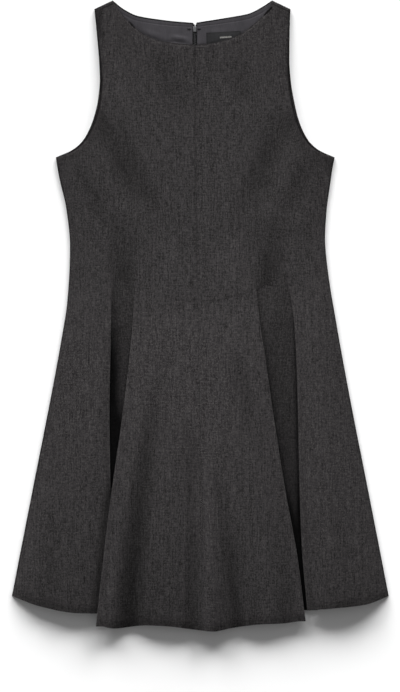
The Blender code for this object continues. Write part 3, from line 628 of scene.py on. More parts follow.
backDarts = [
    (-0.0850, 0.2150, -0.0830, 0.1500, -0.0860, 0.0900, 0.0026, 0.0006, 1),
    (0.0770, 0.2150, 0.0760, 0.1500, 0.0790, 0.0900, 0.0026, 0.0006, 1),
]


def acrossCrease(x, y, row):
    # share of the way along a crease and distance from it in half widths, or None beyond it
    startX, startY, bendX, bendY, endX, endY, half, _, runsOut = row
    if abs(endX - startX) > abs(endY - startY):
        x, y, startX, startY, bendX, bendY, endX, endY = y, x, startY, startX, bendY, bendX, endY, endX
    pullX, pullY = 2 * bendX - (startX + endX) / 2, 2 * bendY - (startY + endY) / 2
    way = 1 if endY > startY else -1
    if (y - startY) * way <= 0 or (y - endY) * way >= 0 and not runsOut:
        return None
    t = 1.0
    if (y - endY) * way < 0:
        a, b, c = startY - 2 * pullY + endY, 2 * (pullY - startY), startY - y
        root = math.sqrt(max(b * b - 4 * a * c, 0.0))
        t = -c / b if abs(a) < 1e-6 else (-b + way * root) / (2 * a)
    slopeX = 2 * (1 - t) * (pullX - startX) + 2 * t * (endX - pullX)
    slopeY = 2 * (1 - t) * (pullY - startY) + 2 * t * (endY - pullY)
    lineX = (1 - t) ** 2 * startX + 2 * t * (1 - t) * pullX + t * t * endX
    # a crease that runs out at the hem widens on the way down
    reach = half * (0.6 + 0.4 * t) if runsOut else half
    away = (x - lineX) * abs(slopeY) / math.hypot(slopeX, slopeY) / reach
    return (t, away) if abs(away) < 1 else None


def creaseHeight(x, y, rows):
    total = 0.0
    for row in rows:
        found = acrossCrease(x, y, row)
        if found:
            t, away = found
            *_, height, runsOut = row
            strength = ease(t) if runsOut else math.sin(math.pi * t) ** 1.4
            total += height * strength * (1 - away * away) ** 2
    return total


def creaseShade(x, y, rows, deepest):
    # painted shade from how far down in the creases a place lies, as a share of the deepest; raised creases
    # give a little painted highlight
    return max(-creaseHeight(x, y, rows) / deepest, -0.3)


def dartDepth(x, y, rows):
    # a stitched dart is sharp all the way and fades out only at its tip
    total = 0.0
    for startX, startY, bendX, _, endX, endY, half, height, _ in rows:
        t = (startY - y) / (startY - endY)
        pullX = 2 * bendX - (startX + endX) / 2
        away = abs(x - (1 - t) ** 2 * startX - 2 * t * (1 - t) * pullX - t * t * endX) / half
        if 0 < t < 1 and away < 1:
            total += height * ease(t / 0.25) * (1 - away) ** 1.5
    return total


def dipNear(distance, edge=seamDip):
    return -edge["depth"] * (1 - ease(distance / edge["reach"])) ** 1.5


# painted shade near an edge or a seam
def edgeShade(distance, shade=paintedEdgeShade["shade"]):
    return shade * (1 - ease(distance / paintedEdgeShade["reach"]))


def frontForm(x, y):
    share = min(abs(x - middleX(y)) / formHalf(y), 1.0)
    centre, over, edge = (frontHeights[name](y) for name in ("centre", "princess", "edge"))
    if share < princessShare:
        return mix(centre, over, ease(share / princessShare))
    return over - (over - edge) * ((share - princessShare) / (1 - princessShare)) ** 2


def waistDent(x, y):
    # the cloth sinks at the waist over each fold of the skirt
    total = 0.0
    for middle, half, up, depth in waistDents:
        away = abs(x - middle) / half
        if away < 1:
            above = max(y - waistY(x, dress["frontDip"]), 0.0) / up
            total -= depth * (1 - away * away) ** 2 * (1 - ease(above))
    return total


def bodiceHeight(x, y):
    # creases fade where the front meets the back at the side seams
    half = armholeHalf(y) if y > underarmY else sideSeam(y)
    room = ease((1 - min(abs(x - middleX(y)) / half, 1.0)) / 0.12)
    creases = creaseHeight(x, y, bodiceCreases) + waistDent(x, y)
    return frontForm(x, y) + room * creases + dartDepth(x, y, dartLines)


# painted shade in the bodice's creases and over the waist dents, and a little painted highlight on raised
# creases
def bodiceShade(x, y):
    return 0.42 * creaseShade(x, y, bodiceCreases, 0.0040) - 0.56 * waistDent(x, y) / 0.0036


# painted shade in the skirt's creases, and a little painted highlight on raised ones
def skirtShade(x, y):
    return 0.62 * creaseShade(x, y, skirtCreases, 0.0086)


def zipHump(x, y):
    # the back and all that lies on it stand over the hidden pull
    away = (abs(x - centreX(y)) - hump["half"]) / hump["fade"]
    return hump["height"] * (1 - ease(away)) * ease((y - hump["lowY"]) / hump["rise"])


def backHeight(x, y):
    near = ease((abs(x - centreX(y)) - 0.012) / 0.012)
    inward = ease((sideSeam(y) - abs(x - middleX(y))) / 0.03) if y < underarmY else 1.0
    lift = creaseHeight(x, y, backCreases) * near * inward + dartDepth(x, y, backDarts)
    return backTop + zipHump(x, y) + max(lift, 0.0)


# ---- bodice

bodiceFront = {
    "shoulderSeam": 0.0045,            # below the shoulder's edge
    "leaveShare": 5 / 14,              # of a centre panel's outer edge, down to where it leaves the armhole
    "neckReach": 0.36,
    # painted shade along the neckline, the centre seam, the princess seams and the shoulder seam
    "neckShade": 0.65,
    "centreShade": 0.26,
    "princessShade": 0.06,
    "slitDepth": 0.0005,
    "seamShade": 0.9,
    "seamReach": 0.0018,
}
waistSeamShade = columns(              # painted shade along the waist seam: none where it is pressed flat at the sides, deeper beside the centre
    "x shade",
    (-0.1920, 0.0), (-0.0600, 0.02), (-0.0250, 0.20), (0.0200, 0.34), (0.0600, 0.34), (0.0850, 0.06),
    (0.1200, 0.0), (0.1920, 0.0),
)["shade"]
# painted shade along the left strap: its band, fades and darkness
strapPaintedShade = {
    "half": 0.0075,
    "soft": 0.0035,
    "highY": 0.4650,
    "lowY": 0.4080,
    "highFade": 0.006,
    "lowFade": 0.016,
    "shade": 0.55,
}
slits = [                              # painted shadow in the neckline's gaps: start, end, half width and darkness of each
    (0.1069, 0.4616, 0.0958, 0.4505, 0.0024, 1.25),
    (-0.1069, 0.4410, -0.0986, 0.4314, 0.0021, 1.10),
]


def strapShade(x, y):
    # painted shade along the left strap's outer edge
    inward = armholeHalf(y) - abs(x - middleX(y))
    along = ease((strapPaintedShade["highY"] - y) / strapPaintedShade["highFade"])
    along *= ease((y - strapPaintedShade["lowY"]) / strapPaintedShade["lowFade"])
    return strapPaintedShade["shade"] * along * (1 - ease((inward - strapPaintedShade["half"]) / strapPaintedShade["soft"]))


# painted shadow in the neckline's gaps, darkest along their middles
def slitShade(x, y):
    darkest = 0.0
    for startX, startY, endX, endY, half, shade in slits:
        run, away = Vector((endX - startX, endY - startY)), Vector((x - startX, y - startY))
        along = min(max(away.dot(run) / run.length_squared, 0.0), 1.0)
        reach = half * (1 - 0.5 * abs(2 * along - 1))
        darkest = max(darkest, shade * (1 - ease((away - run * along).length / reach - 0.4)))
    return darkest


def bodiceFrontCentre(side):
    cut = armhole(side, dress["armholeInset"])
    leave = princessLeave(cut)
    neck = neckline(side, neckFront, frontNeckY)
    line = beside(princessLine(side, cut(leave)), -side * seam)
    foot = centreX(waistY(0.0, dress["frontDip"])) + side * seam
    wide, high = 0.1245, 0.41
    # finer by the strap, the neckline's slits, the dart and the centre seam
    fine = [(0, 0.0035), (0.018, 0.038), (wide - 0.072, wide - 0.052), (wide - 0.0035, wide)]
    across = stations(wide, 0.0026, fine, 0.0007)
    down = stations(high, 0.0028, [(0, 0.014), (high - 0.0035, high)])
    shoulderShare, leaveShare = dress["shoulderShare"], bodiceFront["leaveShare"]
    rows = patchRows(
        joined(shoulderLine(side), neck, shoulderShare),
        waistLine(line(1).x, foot, dress["frontDip"], seam),
        joined(stretch(cut, 0, leave), line, leaveShare),
        centreSeamLine(side, neck(1).y, waistY(foot, dress["frontDip"]) + seam),
        across, down,
    )

    def place(x, y, u, v):
        outer, inner, top, bottom = u * wide, (1 - u) * wide, v * high, (1 - v) * high
        free, slit = v <= leaveShare, slitShade(x, y)
        fromSeam = abs(top - bodiceFront["shoulderSeam"])
        dips = [dipNear(outer, edgeRoll if free else seamDip), dipNear(inner), dipNear(bottom, waistDip),
                dipNear(v * bodiceFront["neckReach"], edgeRoll)]
        outerShade = paintedEdgeShade["shade"] if free else bodiceFront["princessShade"]
        # painted shade at the slits, the neckline, the edges and the seams, and on the left along the strap
        darks = [slit, edgeShade(top, bodiceFront["neckShade"]), edgeShade(outer, outerShade),
                 edgeShade(inner, bodiceFront["centreShade"]), edgeShade(bottom, waistSeamShade(x) / 2)]
        if u < shoulderShare + 0.02:
            dips.append(0.8 * dipNear(fromSeam))
        if u < shoulderShare + 0.01:
            darks.append(bodiceFront["seamShade"] * (1 - ease(fromSeam / bodiceFront["seamReach"])))
        if side < 0:
            darks.append(strapShade(x, y))
        z = bodiceHeight(x, y) + min(dips) - bodiceFront["slitDepth"] * slit
        return z, bodiceShade(x, y) + max(darks)

    raised, shades = laid(rows, across, down, place)
    sewPanel("bodice_front_centre", side, raised, shades, 0.31, woolLayer)


def bodiceFrontSide(side):
    cut = armhole(side, dress["armholeInset"])
    leave = princessLeave(cut)
    line = beside(princessLine(side, cut(leave)), side * seam)
    wide, high = 0.072, 0.19
    across = stations(wide, 0.0024, [(0, 0.0035), (wide - 0.0035, wide)], 0.0007)
    down = stations(high, 0.0026, [(0, 0.0040), (high - 0.0035, high)])
    rows = patchRows(
        stretch(cut, 1, leave),
        waistLine(outlineX(side, waistSideY), line(1).x, dress["frontDip"], seam),
        sideSeamLine(side, underarmY, waistCorner(side, dress["frontDip"]) + seam),
        line, across, down,
    )

    def place(x, y, u, v):
        outer, inner, top, bottom = u * wide, (1 - u) * wide, v * high, (1 - v) * high
        z = bodiceHeight(x, y) + min(dipNear(inner), dipNear(bottom, waistDip)) + dipNear(top, edgeRoll)
        # painted shade along the armhole and the seams, and a wider painted shade below the armhole
        dark = max(edgeShade(top), 0.34 * (1 - ease(top / 0.034)), edgeShade(outer),
                   edgeShade(inner, bodiceFront["princessShade"]))
        return z, bodiceShade(x, y) + dark

    raised, shades = laid(rows, across, down, place)
    sewPanel("bodice_front_side", side, raised, shades, 0.17, woolLayer)


notch = columns(                       # half width of the gap between the back halves
    "y half",
    (-0.0600, seam), (0.4215, seam), (0.4262, 0.0012), (0.4340, 0.0013), (backNeckY, 0.0025),
)["half"]


def keptClear(line, side, half, centre):
    # a line that stops short of the centre by half the zip's gap
    def place(share):
        point = line(share)
        middle = centre(point.y)
        point.x = side * max(side * (point.x - middle), half) + middle
        return point
    return place


bodiceInside = {
    "armholeShare": 0.62,              # of a back panel's outer edge
    "under": 0.85,                     # painted shadow on the back below the front's edge, and painted shade along its rolled neck edge
    "rolledEdgeShade": 1.25,
    "rollStart": 0.0016,
    "rollReach": 0.0020,
}


def bodiceBack(side):
    neck = neckline(side, neckBack, backNeckY)
    neck = keptClear(neck, side, notch(backNeckY), lambda y: centreX(backNeckY))
    foot = centreX(waistSideY - dress["backDip"]) + side * seam
    wide, high = 0.185, 0.38
    across = stations(wide, 0.0036, [(0, 0.0065), (0.085, 0.110), (wide - 0.0035, wide)])
    down = stations(high, 0.0036, [(0, 0.004), (high - 0.0035, high)])
    armholeShare = bodiceInside["armholeShare"]
    sideSeams = sideSeamLine(side, underarmY, waistCorner(side, dress["backDip"]) + seam)
    rows = patchRows(
        joined(shoulderLine(side), neck, dress["shoulderShare"]),
        waistLine(outlineX(side, waistSideY), foot, dress["backDip"], seam),
        joined(armhole(side), sideSeams, armholeShare),
        centreSeamLine(side, backNeckY, waistY(foot, dress["backDip"]) + seam, notch),
        across, down,
    )

    def place(x, y, u, v):
        # inside the armhole a strip of the back shows, then painted shadow darkens it below the front, and
        # painted shade darkens its rolled top edge
        share = v / armholeShare
        shown = dress["armholeInset"] * armholeSwell(share) if share < 1 else 0.0
        under = bodiceInside["under"] * ease((u * wide - shown + 0.0016) / 0.0014) * ease(shown / 0.002)
        fromTop = v * high - bodiceInside["rollStart"]
        rolledEdgeShade = bodiceInside["rolledEdgeShade"] * (1 - ease(fromTop / bodiceInside["rollReach"]))
        return backHeight(x, y), max(edgeShade(u * wide), rolledEdgeShade, under)

    raised, shades = laid(rows, across, down, place)
    sewPanel("bodice_back", side, raised, shades, 0.53, woolLayer)


# ---- skirt: side and centre panels that fold back under one another

# side and centre are how far out the two folded edges lie, with the height and bend of each;
# tuck is how far the side panel runs on below, and turn where the centre panel turns back up
foldColumns = "at side sideZ sideBend tuck floor turn centre centreZ centreBend lap"
foldCut = {
    -1: columns(
        foldColumns,
        (0.0, 0.1330, 0.0064, 0.0005, 0.0006, 0.0058, 0.0985, 0.0980, 0.0066, 0.0005, 0.0),
        (0.1, 0.1336, 0.0080, 0.0010, 0.0030, 0.0056, 0.0992, 0.1015, 0.0084, 0.0012, 0.0),
        (0.2, 0.1342, 0.0098, 0.0016, 0.0060, 0.0040, 0.1010, 0.1061, 0.0106, 0.0018, 0.0),
        (0.4, 0.1360, 0.0116, 0.0021, 0.0085, 0.0033, 0.1110, 0.1183, 0.0138, 0.0024, 0.0),
        (0.6, 0.1348, 0.0121, 0.0021, 0.0110, 0.0033, 0.1210, 0.1328, 0.0180, 0.0031, 1.0),
        (0.8, 0.1330, 0.0119, 0.0021, 0.0130, 0.0033, 0.1205, 0.1455, 0.0204, 0.0037, 1.0),
        (1.0, 0.1330, 0.0114, 0.0021, 0.0150, 0.0033, 0.1190, 0.1565, 0.0218, 0.0042, 1.0),
    ),
    1: columns(
        foldColumns,
        (0.0, 0.1290, 0.0064, 0.0005, 0.0006, 0.0058, 0.0830, 0.0842, 0.0066, 0.0005, 0.0),
        (0.1, 0.1375, 0.0080, 0.0010, 0.0030, 0.0056, 0.0860, 0.0895, 0.0082, 0.0012, 0.0),
        (0.2, 0.1425, 0.0106, 0.0018, 0.0060, 0.0040, 0.0915, 0.0970, 0.0100, 0.0016, 0.0),
        (0.4, 0.1460, 0.0136, 0.0024, 0.0085, 0.0033, 0.1040, 0.1113, 0.0114, 0.0021, 0.0),
        (0.6, 0.1480, 0.0156, 0.0029, 0.0110, 0.0033, 0.1195, 0.1270, 0.0132, 0.0021, 0.0),
        (0.8, 0.1515, 0.0168, 0.0033, 0.0130, 0.0033, 0.1370, 0.1450, 0.0142, 0.0021, 0.0),
        (1.0, 0.1600, 0.0174, 0.0036, 0.0150, 0.0033, 0.1490, 0.1580, 0.0148, 0.0021, 0.0),
    ),
}
foldPaintedShade = {                           # painted shade inside a fold: how dark the cloth gets, and how near its two edges
    -1: {"floor": 0.47, "lower": 0.24, "reach": 0.021, "side": 1.00,
         "centre": 0.10, "closing": 0.90, "edge": 0.42},
    1: {"floor": 0.36, "lower": 0.42, "reach": 0.008, "side": 0.48,
        "centre": 0.38, "closing": 0.30, "edge": 0.36},
}
hemSide = columns(
    "share left right",
    (0.00, hemSideY, hemSideY), (0.30, -0.4360, -0.4330), (0.65, -0.4454, -0.4380), (1.00, -0.4466, -0.4414),
)
hemCentre = columns(
    "share y",
    (0.00, -0.4624), (0.09, -0.4684), (0.24, -0.4639), (0.35, -0.4654), (0.46, -0.4699), (0.56, -0.4727),
    (0.64, -0.4684), (0.78, -0.4624), (0.89, -0.4609), (1.00, -0.4560),
)["y"]
hemBack = columns(
    "share y",
    (0.00, -0.4480), (0.35, -0.4440), (0.64, -0.4360), (0.83, -0.4300), (1.00, hemSideY),
)["y"]
centreRise = columns(
    "at z",
    (0.0, 0.0068), (0.2, 0.0122), (0.4, 0.0170), (0.6, 0.0200), (0.75, 0.0208), (0.9, 0.0196), (1.0, 0.0176),
)["z"]
skirt = {
    "length": 0.45,
    "waistGap": 0.00003,
    "levelAt": 0.006,                  # down to here the skirt runs straight on from the waist seam
    "settle": 0.10,                    # and from here it has its own form
    "layer": 0.0003,
    "clear": 0.0024,
    "belly": 0.0030,
    "hemBelly": 0.0060,
    "tuckStub": 0.0030,
    "hemDrop": 0.0012,                 # how far the hem's last stretch turns down
    "hemReach": 0.0120,
    "foldSteps": 34,
    "sideReach": 0.012,                # how far the painted shade reaches from the panels' folded edges
    "centreReach": 0.007,
    "narrow": (0.010, 0.022),          # a fold's opening when its painted shade is darkest, and when light gets in
    "open": 0.30,                      # share of the length by which a fold is fully open
}
skirtDown = stations(skirt["length"], 0.0034, [(0, 0.0035), (skirt["length"] - 0.004, skirt["length"])])


@lru_cache(None)
def foldAt(side, at):
    return {name: curve(at) for name, curve in foldCut[side].items()}


def skirtY(x, at, hemY):
    # a skirt's line runs from its place on the waist seam down to the hem
    return mix(waistY(x, dress["frontDip"]) - skirt["waistGap"], hemY, at)


@lru_cache(None)
def sidePoint(side, share, at):
    rimY = mix(waistSideY - skirt["waistGap"], hemSideY, at)
    topX = mix(outlineX(side, waistSideY), side * foldAt(side, 0.0)["side"], share)
    x = mix(outlineX(side, rimY), side * foldAt(side, at)["side"], share)
    return x, skirtY(topX, at, hemSide[hand[side]](share))


def centreEdges(at):
    return -foldAt(-1, at)["centre"], foldAt(1, at)["centre"]


@lru_cache(None)
def centrePoint(share, at):
    return mix(*centreEdges(at), share), skirtY(mix(*centreEdges(0.0), share), at, hemCentre(share))


def centreShare(x, at):
    left, right = centreEdges(at)
    return (x - left) / (right - left)


def hemTurn(at):
    return -skirt["hemDrop"] * (1 - ease((1 - at) * skirt["length"] / skirt["hemReach"])) ** 1.5


# painted shade along the hem, where it turns down
def hemShade(at):
    above = (1 - at) * skirt["length"]
    bands = (0.05, 0.07), (0.08, 0.011), (0.16, 0.002)
    return sum(shade * (1 - ease(above / reach)) for shade, reach in bands)


def lapShade(side, x, at):
    # painted shadow: where the centre panel laps over the side panel it darkens what lies beside it
    fold = foldAt(side, at)
    outside = side * x - fold["centre"]
    lapped = ease((fold["centre"] - fold["side"] + 0.004) / 0.006)
    return lapped * 0.85 * (1 - ease(max(outside, 0.0) / 0.014))


def settled(x, at, height):
    y = waistY(x, dress["frontDip"])
    return mix(frontForm(x, y) + waistDent(x, y), height, ease(at / skirt["settle"]))


def sunk(x, at, height, under):
    # the layers of a fold start close together at the waist seam
    level = settled(x, at, height) - skirt["layer"] * (1 - ease(at / skirt["settle"]))
    return mix(height, level, under)


def sideHeight(side, share, at):
    over = foldAt(side, at)["sideZ"]
    x, y = sidePoint(side, share, at)
    roll = over - (over - frontLow) * (1 - share) ** mix(2.0, 3.2, ease(at))
    roll += skirt["belly"] * at * math.sin(math.pi * share)
    roll += skirt["hemBelly"] * ease((at - 0.45) / 0.55) * math.sin(math.pi * share ** 0.62)
    return settled(x, at, roll) + creaseHeight(x, y, skirtCreases) * ease(share / 0.2)


def centreHeight(share, at):
    x, y = centrePoint(share, at)
    middle = centreRise(at) + creaseHeight(x, y, skirtCreases)
    left, right = foldAt(-1, at)["centreZ"], foldAt(1, at)["centreZ"]
    nearLeft, nearRight = 1 - ease(share / 0.16), 1 - ease((1 - share) / 0.16)
    return settled(x, at, middle + (left - middle) * nearLeft + (right - middle) * nearRight)


def underCentre(side, out, at, height):
    # what lies below the centre panel never rises through it
    return min(height, centreHeight(centreShare(side * out, at), at) - skirt["clear"])


def bendRadius(bend, top, floor):
    return min(bend, max(top - floor, 0.0002) / 2.2)


def sideFold(side, at):
    # from the side panel's folded edge down to the seam inside the fold: distance out and height
    fold = foldAt(side, at)
    top, floor, edge = sideHeight(side, 1.0, at), fold["floor"], fold["side"]
    under = edge + fold["tuck"]
    r = bendRadius(fold["sideBend"], top, floor)
    return [
        (edge + 0.3 * r, top - 0.3 * r),
        (edge, top - r),
        (edge + 0.3 * r, top - 1.7 * r),
        (mix(edge, under, 0.35) + 0.4 * r, mix(top - 2 * r, floor + r, 0.25)),
        (under - 0.5 * r, floor + 0.95 * r),
        (under, floor + 0.42 * r),
        (under - 0.5 * r, floor),
        (under - skirt["tuckStub"] + seam, floor),
    ]


def centreFold(side, at):
    # from the seam inside the fold up to the centre panel's own folded edge
    fold = foldAt(side, at)
    top, sideTop = centreHeight(0.0 if side < 0 else 1.0, at), sideHeight(side, 1.0, at)
    floor, turn, centre = fold["floor"], fold["turn"], fold["centre"]
    r = bendRadius(fold["centreBend"], top, floor)
    start = fold["side"] + fold["tuck"] - skirt["tuckStub"] - seam
    foot, neck = (turn + 0.4 * r, floor + 0.95 * r), (centre - 0.9 * r, top - 1.9 * r)
    knees = []
    for share, out, rise in ((1 / 3, turn + 0.0012, 0.0022), (2 / 3, turn + 0.0052, 0.0044)):
        knee = out, underCentre(side, out, at, sideTop + rise)
        knees.append([mix(mix(foot[k], neck[k], share), knee[k], fold["lap"]) for k in (0, 1)])
    return [
        (start, floor), (mix(start, turn, 0.5), floor), (turn + 0.6 * r, floor), (turn, floor + 0.4 * r),
        foot, *knees, neck,
        (centre - 0.3 * r, top - 1.7 * r), (centre, top - r), (centre - 0.3 * r, top - 0.3 * r),
    ]


def skirtFrontSide(side):
    panelEdge = 0.955                  # share at which the fold's bend begins
    wide = 0.11
    across = [u * panelEdge for u in stations(wide, 0.0026, [(0, 0.003)], 0.0007)]
    steps = [(k + 1) / skirt["foldSteps"] for k in range(skirt["foldSteps"])]
    hemY = hemSide[hand[side]](1.0)

    def foldLine(at):
        x, _ = sidePoint(side, panelEdge, at)
        return lineThrough([(side * x, sideHeight(side, panelEdge, at))] + sideFold(side, at))

    atWaist = [foldLine(skirt["levelAt"])(step)[0] for step in steps]
    rows, shades = [], []
    for at in skirtDown:
        level = max(at, skirt["levelAt"])
        dip, edge = dipNear(at * skirt["length"], waistDip) + hemTurn(at), hemShade(at)
        row, shade = [], []
        for share in across:
            x, y = sidePoint(side, share, at)
            row.append(Vector((x, y, sideHeight(side, share, level) + dip)))
            # painted shade along the side seam, the hem, beside the lap and along the rolled folded edge
            rolledEdgeShade = foldPaintedShade[side]["edge"] * ease(at / skirt["open"])
            rolledEdgeShade *= 1 - ease((1 - share) * wide / skirt["sideReach"])
            dark = max(edgeShade(share * wide), edge, lapShade(side, x, at), rolledEdgeShade)
            shade.append(skirtShade(x, y) + dark)
        line, floor, top = foldLine(level), foldAt(side, level)["floor"], sideHeight(side, 1.0, level)
        opened = ease((at - 0.01) / skirt["open"])
        for step, waistOut in zip(steps, atWaist):
            out, z = line(step)
            under = ease((top - z) / max(top - floor, 1e-4) * 1.5 - 0.2)
            z = sunk(side * out, at, z, under) + dip * (1 - under)
            row.append(Vector((side * out, skirtY(side * waistOut, at, hemY), z)))
            # painted shade inside the fold
            shade.append(max(under * opened, edge, lapShade(side, side * out, at)))
        rows.append(row)
        shades.append(shade)
    sewPanel("skirt_front_side", side, rows, shades, 0.71, woolLayer)


def skirtFrontCentre(side):
    start, bendShare = (0.0, 0.035) if side < 0 else (1.0, 0.965)
    wide = 0.14
    across = stations(wide, 0.0025, [(wide - 0.0035, wide)], 0.0007)
    steps = [k / skirt["foldSteps"] for k in range(skirt["foldSteps"])]
    sideHem, centreHem, dark = hemSide[hand[side]](1.0), hemCentre(bendShare), foldPaintedShade[side]
    tight, loose = skirt["narrow"]

    def foldLine(at):
        x, _ = centrePoint(bendShare, at)
        return lineThrough(centreFold(side, at) + [(side * x, centreHeight(bendShare, at))])

    atWaist = [foldLine(skirt["levelAt"])(step)[0] for step in steps]
    atHem, turnOut = foldLine(1.0), foldAt(side, 1.0)["turn"] + 0.002
    turned = next(k for k, step in enumerate(steps) if atHem(step)[0] < turnOut)
    rows, shades = [], []
    for at in skirtDown:
        level = max(at, skirt["levelAt"])
        waist, hem, edge = dipNear(at * skirt["length"], waistDip), hemTurn(at), hemShade(at)
        line, fold, top = foldLine(level), foldAt(side, level), centreHeight(start, level)
        opened = ease((at - 0.01) / skirt["open"])
        closing = ease((loose - (fold["side"] - fold["centre"])) / (loose - tight))
        row, shade = [], []
        for k, step in enumerate(steps):
            out, z = line(step)
            under = ease((top - z) / max(top - fold["floor"], 1e-4) * 1.4 - 0.25)
            # painted shade inside the fold, darkest near its two folded edges and where it closes
            nearSide = 1 - ease((fold["side"] - out) / dark["reach"])
            nearCentre = 1 - ease((out - fold["centre"]) / skirt["centreReach"])
            depth = dark["floor"] + dark["lower"] * at + nearSide * dark["side"] * opened
            depth += nearCentre * dark["centre"] + dark["closing"] * closing
            shade.append(max(under * min(depth * mix(0.85, 1.0, opened), 1.3), edge))
            crossed = ease((k - turned) / (0.6 * (skirt["foldSteps"] - turned)))
            y = skirtY(side * atWaist[k], at, mix(sideHem, centreHem, crossed))
            z = sunk(side * out, at, z, under) + (waist + hem) * (1 - under)
            row.append(Vector((side * out, y, z)))
        for u in across:
            share = mix(bendShare, centreShare(centreX(mix(0.0221, -0.4727, at)), at), u)
            x, y = centrePoint(share, at)
            z = centreHeight(share, level) + min(waist, dipNear((1 - u) * wide)) + hem
            row.append(Vector((x + side * seam * ease((u - 0.9) / 0.1), y, z)))
            # painted shade along the waist seam, the hem and the centre seam
            seamed = edgeShade(at * skirt["length"], waistSeamShade(x))
            shade.append(skirtShade(x, y) + max(edge, seamed, edgeShade((1 - u) * wide, 0.14)))
        rows.append(row)
        shades.append(shade)
    sewPanel("skirt_front_centre", side, rows, shades, 0.31, woolLayer)


def skirtBack(side):
    topFoot, lowFoot = centreX(waistSideY - dress["backDip"]) + side * seam, hemBack(0.0)

    def hem(share):
        x = mix(side * hemHalf, centreX(lowFoot) + side * seam, share)
        return Vector((x, hemBack(min(abs(x) / hemHalf, 1.0))))

    wide, high = 0.24, 0.54
    across = stations(wide, 0.0042, [(wide - 0.0030, wide)], 0.001)
    down = stations(high, 0.0050, [(0, 0.0030), (high - 0.003, high)], 0.001)
    rows = patchRows(
        waistLine(outlineX(side, waistSideY), topFoot, dress["backDip"], -seam),
        hem,
        sideSeamLine(side, waistCorner(side, dress["backDip"]) - seam, hemSideY),
        centreSeamLine(side, waistY(topFoot, dress["backDip"]) - seam, lowFoot),
        across, down,
    )
    raised, _ = laid(rows, across, down, lambda x, y, u, v: (backHeight(x, y), 0.0))
    sewPanel("skirt_back", side, raised, None, 0.93, woolLayer)


for side in (-1, 1):
    for makePanel in (bodiceFrontCentre, bodiceFrontSide, bodiceBack):
        makePanel(side)
    print("bodice", hand[side], "made")
    for makePanel in (skirtFrontCentre, skirtFrontSide, skirtBack):
        makePanel(side)
    print("skirt", hand[side], "made")


# ---- lining, where it shows inside the back neck

lining = {
    "lowY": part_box("lining_back_left")[0][1] + 0.008,
    "slit": 0.0036,                    # from the zip's middle to the lining's edge
    "inset": 0.0020,
    "understitch": 0.0045,             # below the neckline
    "stitchReach": 0.0012,
    "stitchDepth": 0.0003,
    "sag": 0.008,
    "tapeHalf": 0.0120,
    "tapeFade": 0.016,
    "tapeRise": 0.0013,
}
liningCreases = [
    (-0.0500, 0.4125, -0.0300, 0.4105, -0.0130, 0.4070, 0.0035, -0.0010, 0),
    (-0.0480, 0.4190, -0.0300, 0.4165, -0.0140, 0.4130, 0.0045, 0.0009, 0),
    (-0.0900, 0.4300, -0.0700, 0.4220, -0.0500, 0.4190, 0.0060, 0.0004, 0),
    (0.0100, 0.4290, 0.0220, 0.4260, 0.0500, 0.4290, 0.0050, 0.0003, 0),
]


def liningHeight(x, y):
    overTape = 1 - ease((abs(x - centreX(y)) - lining["tapeHalf"]) / lining["tapeFade"])
    return liningTop + zipHump(x, y) + lining["tapeRise"] * overTape


def liningBack(side):
    neck, lower = neckline(side, neckBack, backNeckY), Vector((0.0, -lining["inset"]))
    neckInside = keptClear(lambda share: neck(share) + lower, side, lining["slit"], centreX)
    shoulder = shoulderLine(side, 0.002, lining["inset"])
    strapEnd = armhole(side)(0.25) - Vector((side * 0.002, 0))
    lowEnd = Vector((centreX(lining["lowY"]) + side * lining["slit"], lining["lowY"]))
    sag = Vector((0, lining["sag"]))
    between = [mix(strapEnd, lowEnd, share) - sag for share in (0.3, 0.65)]
    bottom = lineThrough([strapEnd] + between + [lowEnd])
    wide, high = 0.13, 0.05
    across = stations(wide, 0.0016, [(wide - 0.004, wide)], 0.0006)
    down = stations(high, 0.0011, [(0, 0.008)], 0.0006)
    rows = patchRows(
        joined(shoulder, neckInside, dress["shoulderShare"]), bottom, lineThrough([shoulder(0), strapEnd]),
        centreSeamLine(side, neckInside(1).y, lining["lowY"], lambda y: lining["slit"]),
        across, down,
    )

    def place(x, y, u, v):
        stitched = abs(v * high - lining["understitch"]) / lining["stitchReach"]
        z = liningHeight(x, y) + creaseHeight(x, y, liningCreases)
        # painted shadow of the neckline's gaps falls on the lining too
        return z - lining["stitchDepth"] * (1 - ease(stitched)), slitShade(x, y)

    raised, shades = laid(rows, across, down, place)
    sewPanel("lining_back", side, raised, shades, 0.2, satinLayer)


for side in (-1, 1):
    liningBack(side)
print("lining made")


# ---- neck label: a plain woven patch with one pale bar

neckLabel = {
    "corner": (0.0089, 0.4241),        # upper left
    "size": (0.0515, 0.0180),
    "turn": math.radians(3.4),
    "belly": 0.0003,
    "edgeDip": 0.0001,
}


def makeLabel():
    corner, (wide, high) = Vector(neckLabel["corner"]), neckLabel["size"]
    right = Vector((math.cos(neckLabel["turn"]), math.sin(neckLabel["turn"])))
    lower = Vector((right.y, -right.x))
    across, down = stations(wide, 0.0012), stations(high, 0.0010)

    def place(x, y, u, v):
        # its cut edge lies a little lower
        sides = min(u * wide, (1 - u) * wide, v * high)
        z = liningHeight(x, y) + dress["gap"] + labelLayer["wall"]
        z += neckLabel["belly"] * math.sin(math.pi * u) * math.sin(math.pi * v)
        z -= neckLabel["edgeDip"] * (1 - ease(min(sides, (1 - v) * high) / 0.001))
        # painted shade along the label's edges
        return z, 0.8 * (1 - ease(sides / 0.0018))

    rows = [[corner + right * wide * u + lower * high * v for u in across] for v in down]
    raised, shades = laid(rows, across, down, place)
    piece = clothPiece("neckLabel", raised, shades=shades, **labelLayer)
    # the weave is drawn from the label's own upper left corner
    weave = piece.data.uv_layers["weave"].data
    for loop in piece.data.loops:
        away = piece.data.vertices[loop.vertex_index].co.xy - corner
        weave[loop.index].uv = away.dot(right), away.dot(lower)
    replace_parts(piece, "label")


